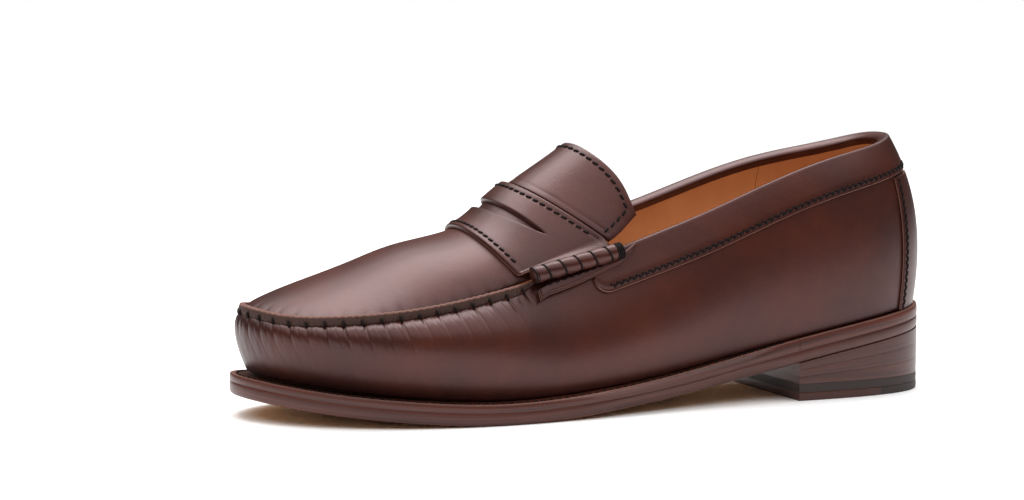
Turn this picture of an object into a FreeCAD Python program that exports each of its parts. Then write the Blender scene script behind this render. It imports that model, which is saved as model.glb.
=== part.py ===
import FreeCAD, Part
import math
import os

# A left beef-roll penny loafer, Goodyear welted, in millimetres.
# Every piece is drawn with x from the back of the heel towards the toe, y towards the
# outer (lateral) side of the foot and z up from the ground; its Placement then brings
# the middle of the sole's box to the origin.

doc = FreeCAD.newDocument("penny_loafer")
sheet = doc.addObject("Spreadsheet::Sheet", "Sizes")

SIZES = [
    ("sole_length", 299.0, "edge of the welt, heel to toe"),
    ("ball_lateral", 52.6, "half-width of the sole at the little-toe joint"),
    ("ball_medial", 50.8, "half-width of the sole at the big-toe joint"),
    ("heel_lateral", 35.8, "half-width of the heel, outer side"),
    ("heel_medial", 33.2, "half-width of the heel, inner side"),
    ("waist_lateral", 38.2, "half-width of the waist, outer side"),
    ("waist_medial", 30.6, "half-width of the waist, inner side"),
    ("toe_shift", 6.0, "how far the toe point lies towards the big toe"),
    ("ball_place", 204.0, "the sole touches the ground here"),
    ("ball_lift", 0.03, "the heel takes the ground first"),
    ("toe_spring", 9.4, "rise of the sole at the toe"),
    ("heel_breast_x", 71.0, "front face of the heel"),
    ("heel_breast_height", 15.7, "heel height at its front face"),
    ("heel_back_height", 27.0, "heel height at the back"),
    ("outsole_thickness", 5.0, "leather outsole"),
    ("welt_thickness", 3.2, "storm-free flat welt and heel rand"),
    ("heel_rand_extra", 1.6, "the rand is thicker than the welt"),
    ("welt_land", 5.0, "welt leather under the upper's edge"),
    ("insole_thickness", 2.5, "insole board"),
    ("sock_thickness", 1.0, "leather sock liner"),
    ("heel_pad_thickness", 2.4, "foam pad under the sock"),
    ("top_piece_thickness", 3.5, "the wearing layer of the heel"),
    ("top_piece_split", 31.0, "rubber behind this x, leather in front"),
    ("rubber_layer_thickness", 3.5, "full rubber lift above the top piece"),
    ("glue_line", 0.05, "gap between stuck layers"),
    ("leather", 1.4, "upper leather"),
    ("lining_leather", 1.0, "lining leather"),
    ("stiffener", 1.0, "toe puff, side linings and counter"),
    ("layer_gap", 0.3, "air between stuck layers of the upper"),
    ("seam_lip_height", 3.6, "standing edge of the moccasin seam"),
    ("seam_lip_thickness", 2.2, "wall and apron edges sewn together"),
    ("strap_thickness", 1.9, "saddle strap, leather folded double"),
    ("strap_lift", 0.3, "strap above the apron"),
    ("slot_length", 49.0, "keeper slot in the strap"),
    ("slot_width", 4.0, "keeper slot at its widest"),
    ("roll_length", 40.0, "beef roll"),
    ("roll_radius", 2.8, "beef roll at the top of a hump"),
    ("roll_waist", 2.3, "beef roll under a thread wrap"),
    ("roll_humps", 6, "humps between the wraps"),
    ("roll_out", 4.8, "roll's axis outside the topline"),
    ("roll_up_front", 2.8, "roll's axis above the topline, front end"),
    ("roll_up_back", 0.8, "roll's axis above the topline, back end"),
    ("foot_height", 3.2, "sewn foot of the strap below the roll"),
    ("foot_stand", 1.75, "the foot stands off the wall, over the collar"),
    ("foot_thickness", 1.85, "two layers of the strap"),
    ("collar_leather", 1.2, "collar band"),
    ("strip_leather", 1.1, "back strip"),
    ("collar_height", 15.0, "collar band at the strap"),
    ("collar_back_height", 15.0, "collar band at the heel"),
    ("board_inset", 4.3, "insole board inside the upper's edge"),
    ("sock_inset", 4.8, "sock inside the upper's edge"),
    ("pad_inset", 7.0, "heel pad inside the upper's edge"),
    ("rib_width", 2.5, "insole rib"),
    ("shank_thickness", 1.4, "steel shank"),
    ("nail_ring", 24.0, "radius of the arc of heel nails"),
    ("nail_radius", 0.9, "heel nail"),
    ("nail_length", 16.0, "heel nail"),
    ("nail_sink", 0.5, "nail head above the ground"),
]
for row, (alias, value, note) in enumerate(SIZES, start=1):
    sheet.set("A%d" % row, note)
    sheet.set("B%d" % row, str(value))
    sheet.setAlias("B%d" % row, alias)
doc.recompute()

nodes = []


def dim(alias):
    return float(sheet.get(alias))


# ---------------------------------------------------------------- curves
def spline(knots, points, period=None):
    """Cubic spline through points given as tuples; a period closes it."""
    ks, ps = list(knots), list(points)
    if period:
        ks.append(ks[0] + period)
        ps.append(ps[0])
    spans = len(ks) - 1
    size = spans if period else spans + 1
    step = [ks[i + 1] - ks[i] for i in range(spans)]
    rows = []
    for i in range(size):
        row = [0.0] * (size + len(ps[0]))
        if not period and i in (0, spans):
            row[i] = 1.0
            rows.append(row)
            continue
        before, after = step[(i - 1) % spans], step[i]
        row[(i - 1) % size] += before
        row[i] += 2 * (before + after)
        row[(i + 1) % size] += after
        previous = ps[(i - 1) % spans] if period else ps[i - 1]
        for axis, (a, b, c) in enumerate(zip(previous, ps[i], ps[i + 1])):
            row[size + axis] = 6 * ((c - b) / after - (b - a) / before)
        rows.append(row)
    for i in range(size):
        rows[i] = [value / rows[i][i] for value in rows[i]]
        for j in range(size):
            if j != i and rows[j][i]:
                share = rows[j][i]
                rows[j] = [a - share * b for a, b in zip(rows[j], rows[i])]
    bend = [row[size:] for row in rows]
    if period:
        bend.append(bend[0])

    def at(t):
        if period:
            t = ks[0] + (t - ks[0]) % period
        i = 0
        while i < spans - 1 and t > ks[i + 1]:
            i += 1
        w = step[i]
        a = (ks[i + 1] - t) / w
        b = (t - ks[i]) / w
        return tuple(
            a * p + b * q + ((a ** 3 - a) * c + (b ** 3 - b) * d) * w * w / 6
            for p, q, c, d in zip(ps[i], ps[i + 1], bend[i], bend[i + 1])
        )

    return at


def graph(*pairs):
    """A smooth function of one number through (x, value) pairs."""
    through = spline([p[0] for p in pairs], [(p[1],) for p in pairs])
    low, high = pairs[0][0], pairs[-1][0]
    return lambda x: through(min(max(x, low), high))[0]


def ease(x, low, high):
    s = min(max((x - low) / (high - low), 0.0), 1.0)
    return s * s * (3 - 2 * s)


def mix(a, b, s):
    return tuple(p + (q - p) * s for p, q in zip(a, b))


# ---------------------------------------------------------------- the sole's outline
LENGTH = dim("sole_length")
BREAST = dim("heel_breast_x")
BALL = dim("ball_place")
HALF = {name: dim(name) for name in ("ball_lateral", "ball_medial", "heel_lateral",
                                     "heel_medial", "waist_lateral", "waist_medial")}
OUTLINE = [
    (0.0, 0.0),
    (0.030 * LENGTH, 0.67 * HALF["heel_lateral"]),
    (0.126 * LENGTH, HALF["heel_lateral"]),
    (0.316 * LENGTH, HALF["waist_lateral"]),
    (0.500 * LENGTH, 0.884 * HALF["ball_lateral"]),
    (BALL, HALF["ball_lateral"]),
    (0.811 * LENGTH, 0.897 * HALF["ball_lateral"]),
    (0.918 * LENGTH, 0.599 * HALF["ball_lateral"]),
    (0.980 * LENGTH, 0.228 * HALF["ball_lateral"]),
    (LENGTH, -dim("toe_shift")),
    (0.977 * LENGTH, -0.463 * HALF["ball_medial"]),
    (0.908 * LENGTH, -0.748 * HALF["ball_medial"]),
    (0.801 * LENGTH, -0.945 * HALF["ball_medial"]),
    (BALL, -HALF["ball_medial"]),
    (0.500 * LENGTH, -0.713 * HALF["ball_medial"]),
    (0.350 * LENGTH, -HALF["waist_medial"]),
    (0.126 * LENGTH, -HALF["heel_medial"]),
    (0.030 * LENGTH, -0.68 * HALF["heel_medial"]),
]


def chords(points):
    """Share of the closed polygon's length at each point."""
    run = [0.0]
    for i, point in enumerate(points):
        run.append(run[-1] + math.dist(point, points[(i + 1) % len(points)]))
    return [value / run[-1] for value in run[:-1]]


outline = spline(chords(OUTLINE), OUTLINE, 1.0)


def outward(t, e=1e-4):
    """Unit normal of the outline, out of the shoe."""
    a, b = outline(t - e), outline(t + e)
    length = math.dist(a, b)
    return (-(b[1] - a[1]) / length, (b[0] - a[0]) / length)


def ring(inset):
    """The outline drawn in by inset, a number or a function of x."""
    points = []
    for i in range(48):
        x, y = outline(i / 48)
        n = outward(i / 48)
        d = inset(x) if callable(inset) else inset
        points.append((x - n[0] * d, y - n[1] * d))
    return points


# ---------------------------------------------------------------- heights along the sole
RISE = dim("heel_breast_height")
SPRING = dim("toe_spring")
BALL_LIFT = dim("ball_lift")
bottom = graph(
    (0, dim("heel_back_height")), (BREAST, RISE), (100, 0.62 * RISE), (135, 0.28 * RISE),
    (175, 0.064 * RISE), (BALL, BALL_LIFT), (240, 0.21 * SPRING), (270, 0.54 * SPRING),
    (LENGTH, SPRING),
)
OUTSOLE_TOP = dim("outsole_thickness")
WELT_TOP = OUTSOLE_TOP + dim("welt_thickness")
RAND_EXTRA = dim("heel_rand_extra")
GLUE = dim("glue_line")


def seat(x):
    """Top of the welt and rand, where the upper stands."""
    return bottom(x) + WELT_TOP + RAND_EXTRA * (1 - ease(x, 90, 190))


# the upper's edge lies this far inside the sole's edge
feather_inset = graph(
    (0, 3.2), (60, 3.2), (110, 4.5), (160, 6.5), (205, 8.5), (260, 8.0), (300, 7.0),
)

# plan of the upper's top edge: the topline from the heel to the strap, the seam to the toe
TOP_PLAN = [
    (14.5, 0), (22, 17.5), (48, 27.2), (111, 29.5), (138.6, 31), (165, 33.5), (203, 36),
    (244, 36), (269, 29.3), (285.3, 14.6), (292.3, -6), (286, -22), (269, -33), (240, -38.5),
    (203, -38), (165, -34), (138.6, -31), (111, -29), (48, -25.8), (22, -16.5),
]
top_height = graph(
    (14.5, 107.3), (22, 105), (48, 99.2), (68, 93.7), (111, 77.2), (138.6, 68), (165, 60.0),
    (200, 51.4), (222, 47.2), (244, 44.4), (270, 42.8), (286, 43.2), (292.3, 44.6),
)
medial_rise = graph(
    (14.5, 0), (48, 0), (85, 2.0), (111, 3.3), (138.6, 3.0), (175, 1.0), (230, 0.5), (300, 0),
)


def beside(point):
    """Where on the outline a point inside it lies, by the nearest normal."""
    t = min(range(400), key=lambda i: math.dist(outline(i / 400), point)) / 400
    for step in (1 / 800, 1 / 3200, 1 / 12800):
        for _ in range(6):
            t = min((math.dist(outline(t + d), point), t + d) for d in (-step, 0, step))[1]
    return t % 1.0


top_plan = spline([0.0] + [beside(p) for p in TOP_PLAN[1:]], TOP_PLAN, 1.0)


def top_edge(t):
    x, y = top_plan(t)
    rise = medial_rise(x) if y < 0 else 0.0
    return (x, y, top_height(x) + rise * ease(-y, 0, 20))


# ---------------------------------------------------------------- the wall of the upper
low_reach = graph(
    (0, 3.6), (30, 3.4), (71, 5), (110, 7), (160, 8), (205, 9), (250, 8.5), (285, 6.5), (300, 4.6),
)
top_reach = graph(
    (0, 14), (30, 12), (71, 8.5), (110, 7.5), (150, 6), (178, 6), (205, 11), (250, 10), (285, 5.5), (300, 3.5),
)
low_share = graph((0, 0.34), (110, 0.36), (205, 0.42), (300, 0.45))
top_share = graph((0, 0.34), (110, 0.30), (170, 0.28), (210, 0.16), (300, 0.16))
LIP_DROP = dim("seam_lip_height")
LIP_OUT = dim("seam_lip_thickness")


def wall(t, v):
    """Outer face of the wall: v runs from the welt, 0, to the top edge, 1."""
    x, y = outline(t)
    n = outward(t)
    d = feather_inset(x)
    foot = (x - n[0] * d, y - n[1] * d, seat(x) + 2 * GLUE)
    edge = top_edge(t)
    lip = ease(edge[0], 182, 197)
    head = (edge[0] + n[0] * LIP_OUT * lip, edge[1] + n[1] * LIP_OUT * lip, edge[2] - LIP_DROP * lip)
    rise = head[2] - foot[2]
    low = (foot[0] + n[0] * low_reach(x), foot[1] + n[1] * low_reach(x), foot[2] + low_share(x) * rise)
    high = (head[0] + n[0] * top_reach(x), head[1] + n[1] * top_reach(x), head[2] - top_share(x) * rise)
    w = ((1 - v) ** 3, 3 * v * (1 - v) ** 2, 3 * v * v * (1 - v), v ** 3)
    return tuple(w[0] * a + w[1] * b + w[2] * c + w[3] * e for a, b, c, e in zip(foot, low, high, head))


def share_below(t, distance):
    """The v that lies a distance below the wall's top edge, along the leather."""
    steps = 60
    run, last = 0.0, wall(t, 1.0)
    for i in range(1, steps + 1):
        here = wall(t, 1 - i / steps)
        length = math.dist(here, last)
        if run + length >= distance:
            return 1 - (i - 1 + (distance - run) / length) / steps
        run, last = run + length, here
    return 0.0


def station(x, side):
    """The t at which the top edge passes x, on side +1 (lateral) or -1 (medial)."""
    low, high = (0.02, 0.5) if side > 0 else (0.98, 0.5)
    for _ in range(40):
        middle = (low + high) / 2
        if top_plan(middle)[0] < x:
            low = middle
        else:
            high = middle
    return low


# ---------------------------------------------------------------- the apron and the tongue
# sections across the instep: where they leave the two seams, their crest, and the power
# of their arch; the last two are the free tongue
SECTION_X = [291.6, 285.5, 269, 243, 218, 190, 168, 150]
CRESTS = [
    (291.7, -6, 43.9), (287.5, -6, 46.2), (272.5, -6, 51.6), (250, -5, 59.2), (229.5, -4, 66.4),
    (206, -3, 71.8), (193, -3, 80.8), (181, -3, 90.2), (168, -3, 98.6), (156.5, -3, 106.0),
]
POWERS = [1.0, 1.0, 1.05, 1.15, 1.3, 1.5, 1.6, 1.6, 1.55, 1.5]
TONGUE_EDGES = {1: [(142, 28.5, 71.5), (136, 26.5, 79.5)], -1: [(142, -29, 74), (136, -27, 82)]}
STRAP_FRONT = 5.0
STRAP_REAR = 6.86
SLOT_PLACE = 6.0
TONGUE_END = 9.0


def seam_points(side):
    points = []
    for x in SECTION_X:
        a = top_edge(station(x, side))
        drop = 1.5 * ease(x, 184, 200) - 0.5
        points.append((a[0], a[1] - side * 0.3, a[2] - drop))
    return points + TONGUE_EDGES[side]


ORDER = list(range(len(CRESTS)))
lateral_seam = spline(ORDER, seam_points(1))
medial_seam = spline(ORDER, seam_points(-1))
crest = spline(ORDER, CRESTS)
arch_power = spline(ORDER, [(p,) for p in POWERS])


def instep(u, v):
    """Outer face of apron and tongue: u from the toe back, v from -1 medial to 1 lateral."""
    a, b, c = lateral_seam(u), medial_seam(u), crest(u)
    middle = mix(a, b, 0.5)
    q = max(0.0, 1 - abs(v) ** 2.2) ** (1 / arch_power(u)[0])
    base = mix(b, a, (v + 1) / 2)
    return tuple(p + (k - m) * q for p, k, m in zip(base, c, middle))


# ---------------------------------------------------------------- solids from surfaces
def offset_grid(surface, us, vs, distance):
    """Points of a surface moved along its normal; the normal points out of the shoe."""
    e = 1e-3
    grid = []
    for u in us:
        line = []
        for v in vs:
            here = FreeCAD.Vector(*surface(u, v))
            du = FreeCAD.Vector(*surface(u + e, v)) - FreeCAD.Vector(*surface(u - e, v))
            dv = FreeCAD.Vector(*surface(u, v + e)) - FreeCAD.Vector(*surface(u, v - e))
            line.append(here + dv.cross(du).normalize() * distance)
        grid.append(line)
    return grid


def spread(low, high, count):
    return [low + (high - low) * i / (count - 1) for i in range(count)]


def panel(label, surface, us, vs, inner, outer):
    """A sheet of leather between two offsets of one surface."""
    skins = []
    for distance in (inner, outer):
        skin = Part.BSplineSurface()
        skin.interpolate(offset_grid(surface, us, vs, distance))
        skins.append(skin)
    below, above = skins
    u0, u1, v0, v1 = below.bounds()
    s0, s1, w0, w1 = above.bounds()
    faces = [below.toShape(), above.toShape()]
    for first, second in ((below.uIso(u0), above.uIso(s0)), (below.uIso(u1), above.uIso(s1)),
                          (below.vIso(v0), above.vIso(w0)), (below.vIso(v1), above.vIso(w1))):
        faces.append(Part.makeRuledSurface(first.toShape(), second.toShape()))
    shell = Part.Shell(faces)
    shell.sewShape()
    solid = Part.Solid(shell)
    if solid.Volume < 0:
        solid.reverse()
    feature = doc.addObject("Part::Feature", label)
    feature.Shape = solid
    return feature


def place(thing, label):
    """Name a sub-part and move it from the heel's frame to the shoe's own frame."""
    thing.Label = label
    thing.setExpression("Placement.Base.x", "-Sizes.sole_length / 2")
    thing.setExpression("Placement.Base.y", "-Sizes.sole_middle")
    nodes.append(thing)
    return thing


WIDEST = [outline(i / 2000)[1] for i in range(2000)]
last_row = len(SIZES) + 1
sheet.set("A%d" % last_row, "middle of the sole's width")
sheet.set("B%d" % last_row, "%.4f" % ((max(WIDEST) + min(WIDEST)) / 2))
sheet.setAlias("B%d" % last_row, "sole_middle")
doc.recompute()


# ---------------------------------------------------------------- sole layers as bodies
def plane(body, role):
    return [f for f in body.Origin.OriginFeatures if f.Role == role][0]


def curve(points, closed=False):
    through = Part.BSplineCurve()
    vectors = [FreeCAD.Vector(p[0], p[1], 0) for p in points]
    through.interpolate(vectors, PeriodicFlag=closed)
    return through


def closed_side(sketch, lower, upper, x0, x1):
    """Side view of a layer: two curves between x0 and x1, joined by upright lines."""
    between = [12 * i for i in range(26) if x0 + 3 < 12 * i < x1 - 3]
    xs = [x0] + between + [x1]
    low = [(x, lower(x)) for x in xs]
    high = [(x, upper(x)) for x in xs]
    for line in (low, high):
        level = line[0][1] == line[-1][1] == line[1][1]
        ends = FreeCAD.Vector(*line[0], 0), FreeCAD.Vector(*line[-1], 0)
        sketch.addGeometry(Part.LineSegment(*ends) if level else curve(line))
    for a, b in ((low[0], high[0]), (low[-1], high[-1])):
        sketch.addGeometry(Part.LineSegment(FreeCAD.Vector(*a, 0), FreeCAD.Vector(*b, 0)))


def sole_layer(label, lower, upper, x0, x1, rims):
    """A layer bent to the sole: its side view padded across, then trimmed to its rims."""
    body = doc.addObject("PartDesign::Body", label)
    side = body.newObject("Sketcher::SketchObject", label + "_side")
    side.AttachmentSupport = [(plane(body, "XZ_Plane"), "")]
    side.MapMode = "FlatFace"
    closed_side(side, lower, upper, x0, x1)
    pad = body.newObject("PartDesign::Pad", label + "_pad")
    pad.Profile = side
    pad.SideType = "Symmetric"
    pad.setExpression("Length", "2.4 * Sizes.ball_lateral")
    plan = body.newObject("Sketcher::SketchObject", label + "_plan")
    plan.AttachmentSupport = [(plane(body, "XY_Plane"), "")]
    plan.MapMode = "FlatFace"
    corners = [(-20, -90), (LENGTH + 20, -90), (LENGTH + 20, 90), (-20, 90)]
    for a, b in zip(corners, corners[1:] + corners[:1]):
        plan.addGeometry(Part.LineSegment(FreeCAD.Vector(*a, 0), FreeCAD.Vector(*b, 0)))
    for rim in rims:
        plan.addGeometry(curve(rim, closed=True))
    trim = body.newObject("PartDesign::Pocket", label + "_trim")
    trim.Profile = plan
    trim.Reversed = True
    trim.Type = "ThroughAll"
    body.Tip = trim
    return place(body, label)


rim = ring(0)
sole_layer("outsole", bottom, lambda x: bottom(x) + OUTSOLE_TOP, -2, LENGTH + 2, [rim])
welt_inner = ring(lambda x: feather_inset(x) + dim("welt_land"))


def outsole_top(x):
    return bottom(x) + OUTSOLE_TOP + GLUE


def under_board(x):
    return seat(x) - GLUE


sole_layer("welt", outsole_top, seat, BREAST + 0.1, LENGTH + 2, [rim, welt_inner])
sole_layer("heel_rand", outsole_top, seat, -2, BREAST - 0.1, [rim, welt_inner])
LAND = dim("welt_land")
RIB_IN = LAND + dim("layer_gap")
RIB_OUT = RIB_IN + dim("rib_width")
rib_outer = ring(lambda x: feather_inset(x) + RIB_IN)
rib_inner = ring(lambda x: feather_inset(x) + RIB_OUT)
sole_layer("insole_rib", outsole_top, under_board, -2, LENGTH + 2, [rib_outer, rib_inner])
cork_rim = ring(lambda x: feather_inset(x) + RIB_OUT + dim("layer_gap"))
sole_layer("cork_filler", outsole_top, under_board, 152, LENGTH, [cork_rim])
shank_rim = [(60, 0), (62, 6), (80, 7.5), (105, 7), (130, 7.5), (147, 6), (149, 0), (147, -6), (130, -7.5),
             (105, -7), (80, -7.5), (62, -6)]
SHANK_LOW = OUTSOLE_TOP + 0.9
SHANK_HIGH = SHANK_LOW + dim("shank_thickness")
sole_layer("shank", lambda x: bottom(x) + SHANK_LOW, lambda x: bottom(x) + SHANK_HIGH, 55, 152, [shank_rim])
board_rim = ring(lambda x: feather_inset(x) + dim("board_inset"))


def board_top(x):
    return seat(x) + GLUE + dim("insole_thickness")


def pad_top(x):
    return board_top(x) + GLUE + 0.1 + dim("heel_pad_thickness") * (1 - ease(x, 66, 88))


sole_layer("insole_board", lambda x: seat(x) + GLUE, board_top, -2, LENGTH, [board_rim])
pad_rim = ring(lambda x: feather_inset(x) + dim("pad_inset"))
sole_layer("heel_pad", lambda x: board_top(x) + GLUE, pad_top, 0, 88, [pad_rim])
sock_rim = ring(lambda x: feather_inset(x) + dim("sock_inset"))
SOCK_LOW = GLUE
SOCK_HIGH = SOCK_LOW + dim("sock_thickness")
sole_layer("sock_liner", lambda x: pad_top(x) + SOCK_LOW, lambda x: pad_top(x) + SOCK_HIGH, 0, LENGTH, [sock_rim])

TOP_PIECE = dim("top_piece_thickness")
RUBBER_TOP = TOP_PIECE + dim("rubber_layer_thickness")
SPLIT = dim("top_piece_split")
sole_layer("top_piece_rubber", lambda x: 0.0, lambda x: TOP_PIECE, -2, SPLIT - 0.05, [rim])
sole_layer("top_piece_leather", lambda x: 0.0, lambda x: TOP_PIECE, SPLIT, BREAST, [rim])
sole_layer("heel_rubber_layer", lambda x: TOP_PIECE + GLUE, lambda x: RUBBER_TOP, -2, BREAST, [rim])
LIFTS = 3
for k in range(LIFTS):
    sole_layer(
        "heel_lift_%d" % (k + 1),
        lambda x, k=k: RUBBER_TOP + GLUE + (bottom(x) - RUBBER_TOP - GLUE) * k / LIFTS,
        lambda x, k=k: RUBBER_TOP + (bottom(x) - RUBBER_TOP) * (k + 1) / LIFTS - GLUE,
        -2, BREAST, [rim])

# ---------------------------------------------------------------- heel nails
NAIL_MIDDLE = (34, 1.2)
NAILS = 7
nails = []
for i in range(NAILS):
    angle = math.radians(32 * (i - NAILS // 2))
    nail = doc.addObject("Part::Cylinder", "nail_%d" % (i + 1))
    nail.setExpression("Radius", "Sizes.nail_radius")
    nail.setExpression("Height", "Sizes.nail_length")
    nail.setExpression("Placement.Base.z", "Sizes.nail_sink")
    nail.Placement.Base.x = NAIL_MIDDLE[0] - dim("nail_ring") * math.cos(angle)
    nail.Placement.Base.y = NAIL_MIDDLE[1] + dim("nail_ring") * math.sin(angle)
    nails.append(nail)
heel_nails = doc.addObject("Part::Compound", "heel_nails")
heel_nails.Links = nails
place(heel_nails, "heel_nails")

# ---------------------------------------------------------------- upper, stiffeners, linings
LEATHER = dim("leather")
GAP = dim("layer_gap")
STIFF_OUT = -LEATHER - GAP
STIFF_IN = STIFF_OUT - dim("stiffener")
LINING_OUT = STIFF_IN - GAP
LINING_IN = LINING_OUT - dim("lining_leather")
UP = spread(0, 1, 8)


def round_shoe(t0, t1):
    """Places round the shoe, shared by the layers so that they lie parallel."""
    return [t0] + [i / 120 for i in range(-60, 121) if t0 + 0.003 < i / 120 < t1 - 0.003] + [t1]


def wall_piece(label, t0, t1, inner, outer, vs=UP, surface=wall):
    return place(panel(label, surface, round_shoe(t0, t1), vs, inner, outer), label)


wall_piece("moccasin_wall", 0.0008, 0.9992, -LEATHER, 0)
wall_piece("heel_counter", -0.125, 0.125, STIFF_IN, STIFF_OUT, spread(0.03, 0.72, 6))
wall_piece("side_lining_lateral", 0.13, 0.355, STIFF_IN, STIFF_OUT, spread(0.03, 0.96, 8))
wall_piece("toe_puff", 0.36, 0.64, STIFF_IN, STIFF_OUT, spread(0.03, 0.90, 8))
wall_piece("side_lining_medial", 0.645, 0.87, STIFF_IN, STIFF_OUT, spread(0.03, 0.96, 8))
wall_piece("heel_grip", -0.11, 0.11, LINING_IN, LINING_OUT)
wall_piece("quarter_lining_lateral", 0.112, 0.262, LINING_IN, LINING_OUT)
wall_piece("vamp_lining", 0.264, 0.736, LINING_IN, LINING_OUT)
wall_piece("quarter_lining_medial", 0.738, 0.888, LINING_IN, LINING_OUT)

# collar band round the heel, from one strap end to the other
COLLAR = dim("collar_height")
collar_height = graph((14.5, dim("collar_back_height")), (60, COLLAR + 1), (165, COLLAR))
COLLAR_END = 163
collar_from = station(COLLAR_END, -1) - 1.0
collar_to = station(COLLAR_END, 1)


def collar(t, v):
    return wall(t, share_below(t, collar_height(top_plan(t)[0]) * (1 - v)))


COLLAR_OUT = GAP + dim("collar_leather")
wall_piece("collar_band", collar_from, collar_to, GAP, COLLAR_OUT, spread(0.0, 0.99, 4), collar)


# half-width of the strip as a share of the way round the shoe
STRIP_HALF = 0.054


def back_strip(s, v):
    """s from -1 to 1 across the strip at the heel's back, v from the welt to the collar."""
    top = share_below(s * STRIP_HALF, dim("collar_back_height") + 0.6)
    return wall(s * STRIP_HALF, v * top)


STRIP_OUT = GAP + dim("strip_leather")
place(panel("back_strip", back_strip, spread(-1, 1, 21), spread(0.004, 1, 8), GAP, STRIP_OUT), "back_strip")

# standing lip of the moccasin seam round the forepart
LIP_END = 196
lip_from = station(LIP_END, 1)
lip_to = station(LIP_END, -1)


def lip(t, v):
    edge = top_edge(t)
    n = outward(t)
    out = LIP_OUT + 0.35 * (1 - v)
    return (edge[0] + n[0] * out, edge[1] + n[1] * out, edge[2] - (LIP_DROP - 0.25) * (1 - v))


place(panel("seam_lip", lip, round_shoe(lip_from, lip_to), spread(0, 1, 4), -LIP_OUT + 0.15, 0), "seam_lip")

# apron, tongue and their linings
ACROSS = spread(-0.985, 0.985, 17)


def tongue_root(v):
    """The line across the instep where the tongue bends: the strap's rear edge."""
    return STRAP_REAR + 0.1 * v * v


def apron(a, v):
    return instep(a * (tongue_root(v) + 0.02), v)


def tongue_end(v):
    return TONGUE_END - 0.8 * abs(v) ** 12


def tongue(a, v):
    start = tongue_root(v) + 0.07
    return instep(start + (tongue_end(v) - start) * a, v)


LINING_EDGE = spread(-0.95, 0.95, 17)
place(panel("apron", apron, spread(0, 1, 19), ACROSS, -LEATHER, 0), "apron")
LINED = -LEATHER - GAP
place(panel("apron_lining", apron, spread(0.07, 1, 14), LINING_EDGE, LINED - 0.9, LINED), "apron_lining")
place(panel("tongue", tongue, spread(0, 1, 10), ACROSS, -LEATHER, 0), "tongue")
place(panel("tongue_lining", tongue, spread(0, 0.985, 10), LINING_EDGE, LINED - 0.9, LINED), "tongue_lining")

# ---------------------------------------------------------------- saddle strap
STRAP_LOW = dim("strap_lift")
STRAP_HIGH = STRAP_LOW + dim("strap_thickness")
STRAP_SIDE = 0.965


def strap(a, v):
    front = STRAP_FRONT - 0.08 * v * v
    return instep(front + (tongue_root(v) - front) * a, v)


strap_across = spread(-STRAP_SIDE, STRAP_SIDE, 21)
blank = panel("strap_blank", strap, spread(0, 1, 9), strap_across, STRAP_LOW, STRAP_HIGH)
cutter = doc.addObject("PartDesign::Body", "slot_cutter")
lens = cutter.newObject("Sketcher::SketchObject", "slot_lens")
lens.AttachmentSupport = [(plane(cutter, "XY_Plane"), "")]
lens.MapMode = "FlatFace"
half_slot = dim("slot_length") / 2
rise = dim("slot_width") / 2
lens_radius = (half_slot ** 2 + rise ** 2) / (2 * rise)
lens_angle = math.asin(half_slot / lens_radius)
for sign in (1, -1):
    centre = FreeCAD.Vector(sign * (rise - lens_radius), 0, 0)
    circle = Part.Circle(centre, FreeCAD.Vector(0, 0, 1), lens_radius)
    middle = 0 if sign > 0 else math.pi
    lens.addGeometry(Part.ArcOfCircle(circle, middle - lens_angle, middle + lens_angle))
lens_pad = cutter.newObject("PartDesign::Pad", "slot_depth")
lens_pad.Profile = lens
lens_pad.SideType = "Symmetric"
lens_pad.setExpression("Length", "10 * Sizes.strap_thickness")
slope_from, slope_to = crest(SLOT_PLACE - 0.25), crest(SLOT_PLACE + 0.25)
slope = math.degrees(math.atan2(slope_to[2] - slope_from[2], slope_from[0] - slope_to[0]))
slot_turn = FreeCAD.Rotation(FreeCAD.Vector(0, 1, 0), slope)
cutter.Placement = FreeCAD.Placement(FreeCAD.Vector(*crest(SLOT_PLACE)), slot_turn)
saddle_strap = doc.addObject("Part::Cut", "saddle_strap")
saddle_strap.Base = blank
saddle_strap.Tool = cutter
place(saddle_strap, "saddle_strap")

# ---------------------------------------------------------------- beef rolls and strap feet
SIDES = {"lateral": 1, "medial": -1}
ROLL_FRONT, ROLL_BACK = 191, 151
FOOT_FRONT, FOOT_BACK = 187, 149
ROLL_OUT = dim("roll_out")


def roll_end(x, side, up):
    t = station(x, side)
    edge, n = top_edge(t), outward(t)
    return FreeCAD.Vector(edge[0] + n[0] * ROLL_OUT, edge[1] + n[1] * ROLL_OUT, edge[2] + up)


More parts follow.
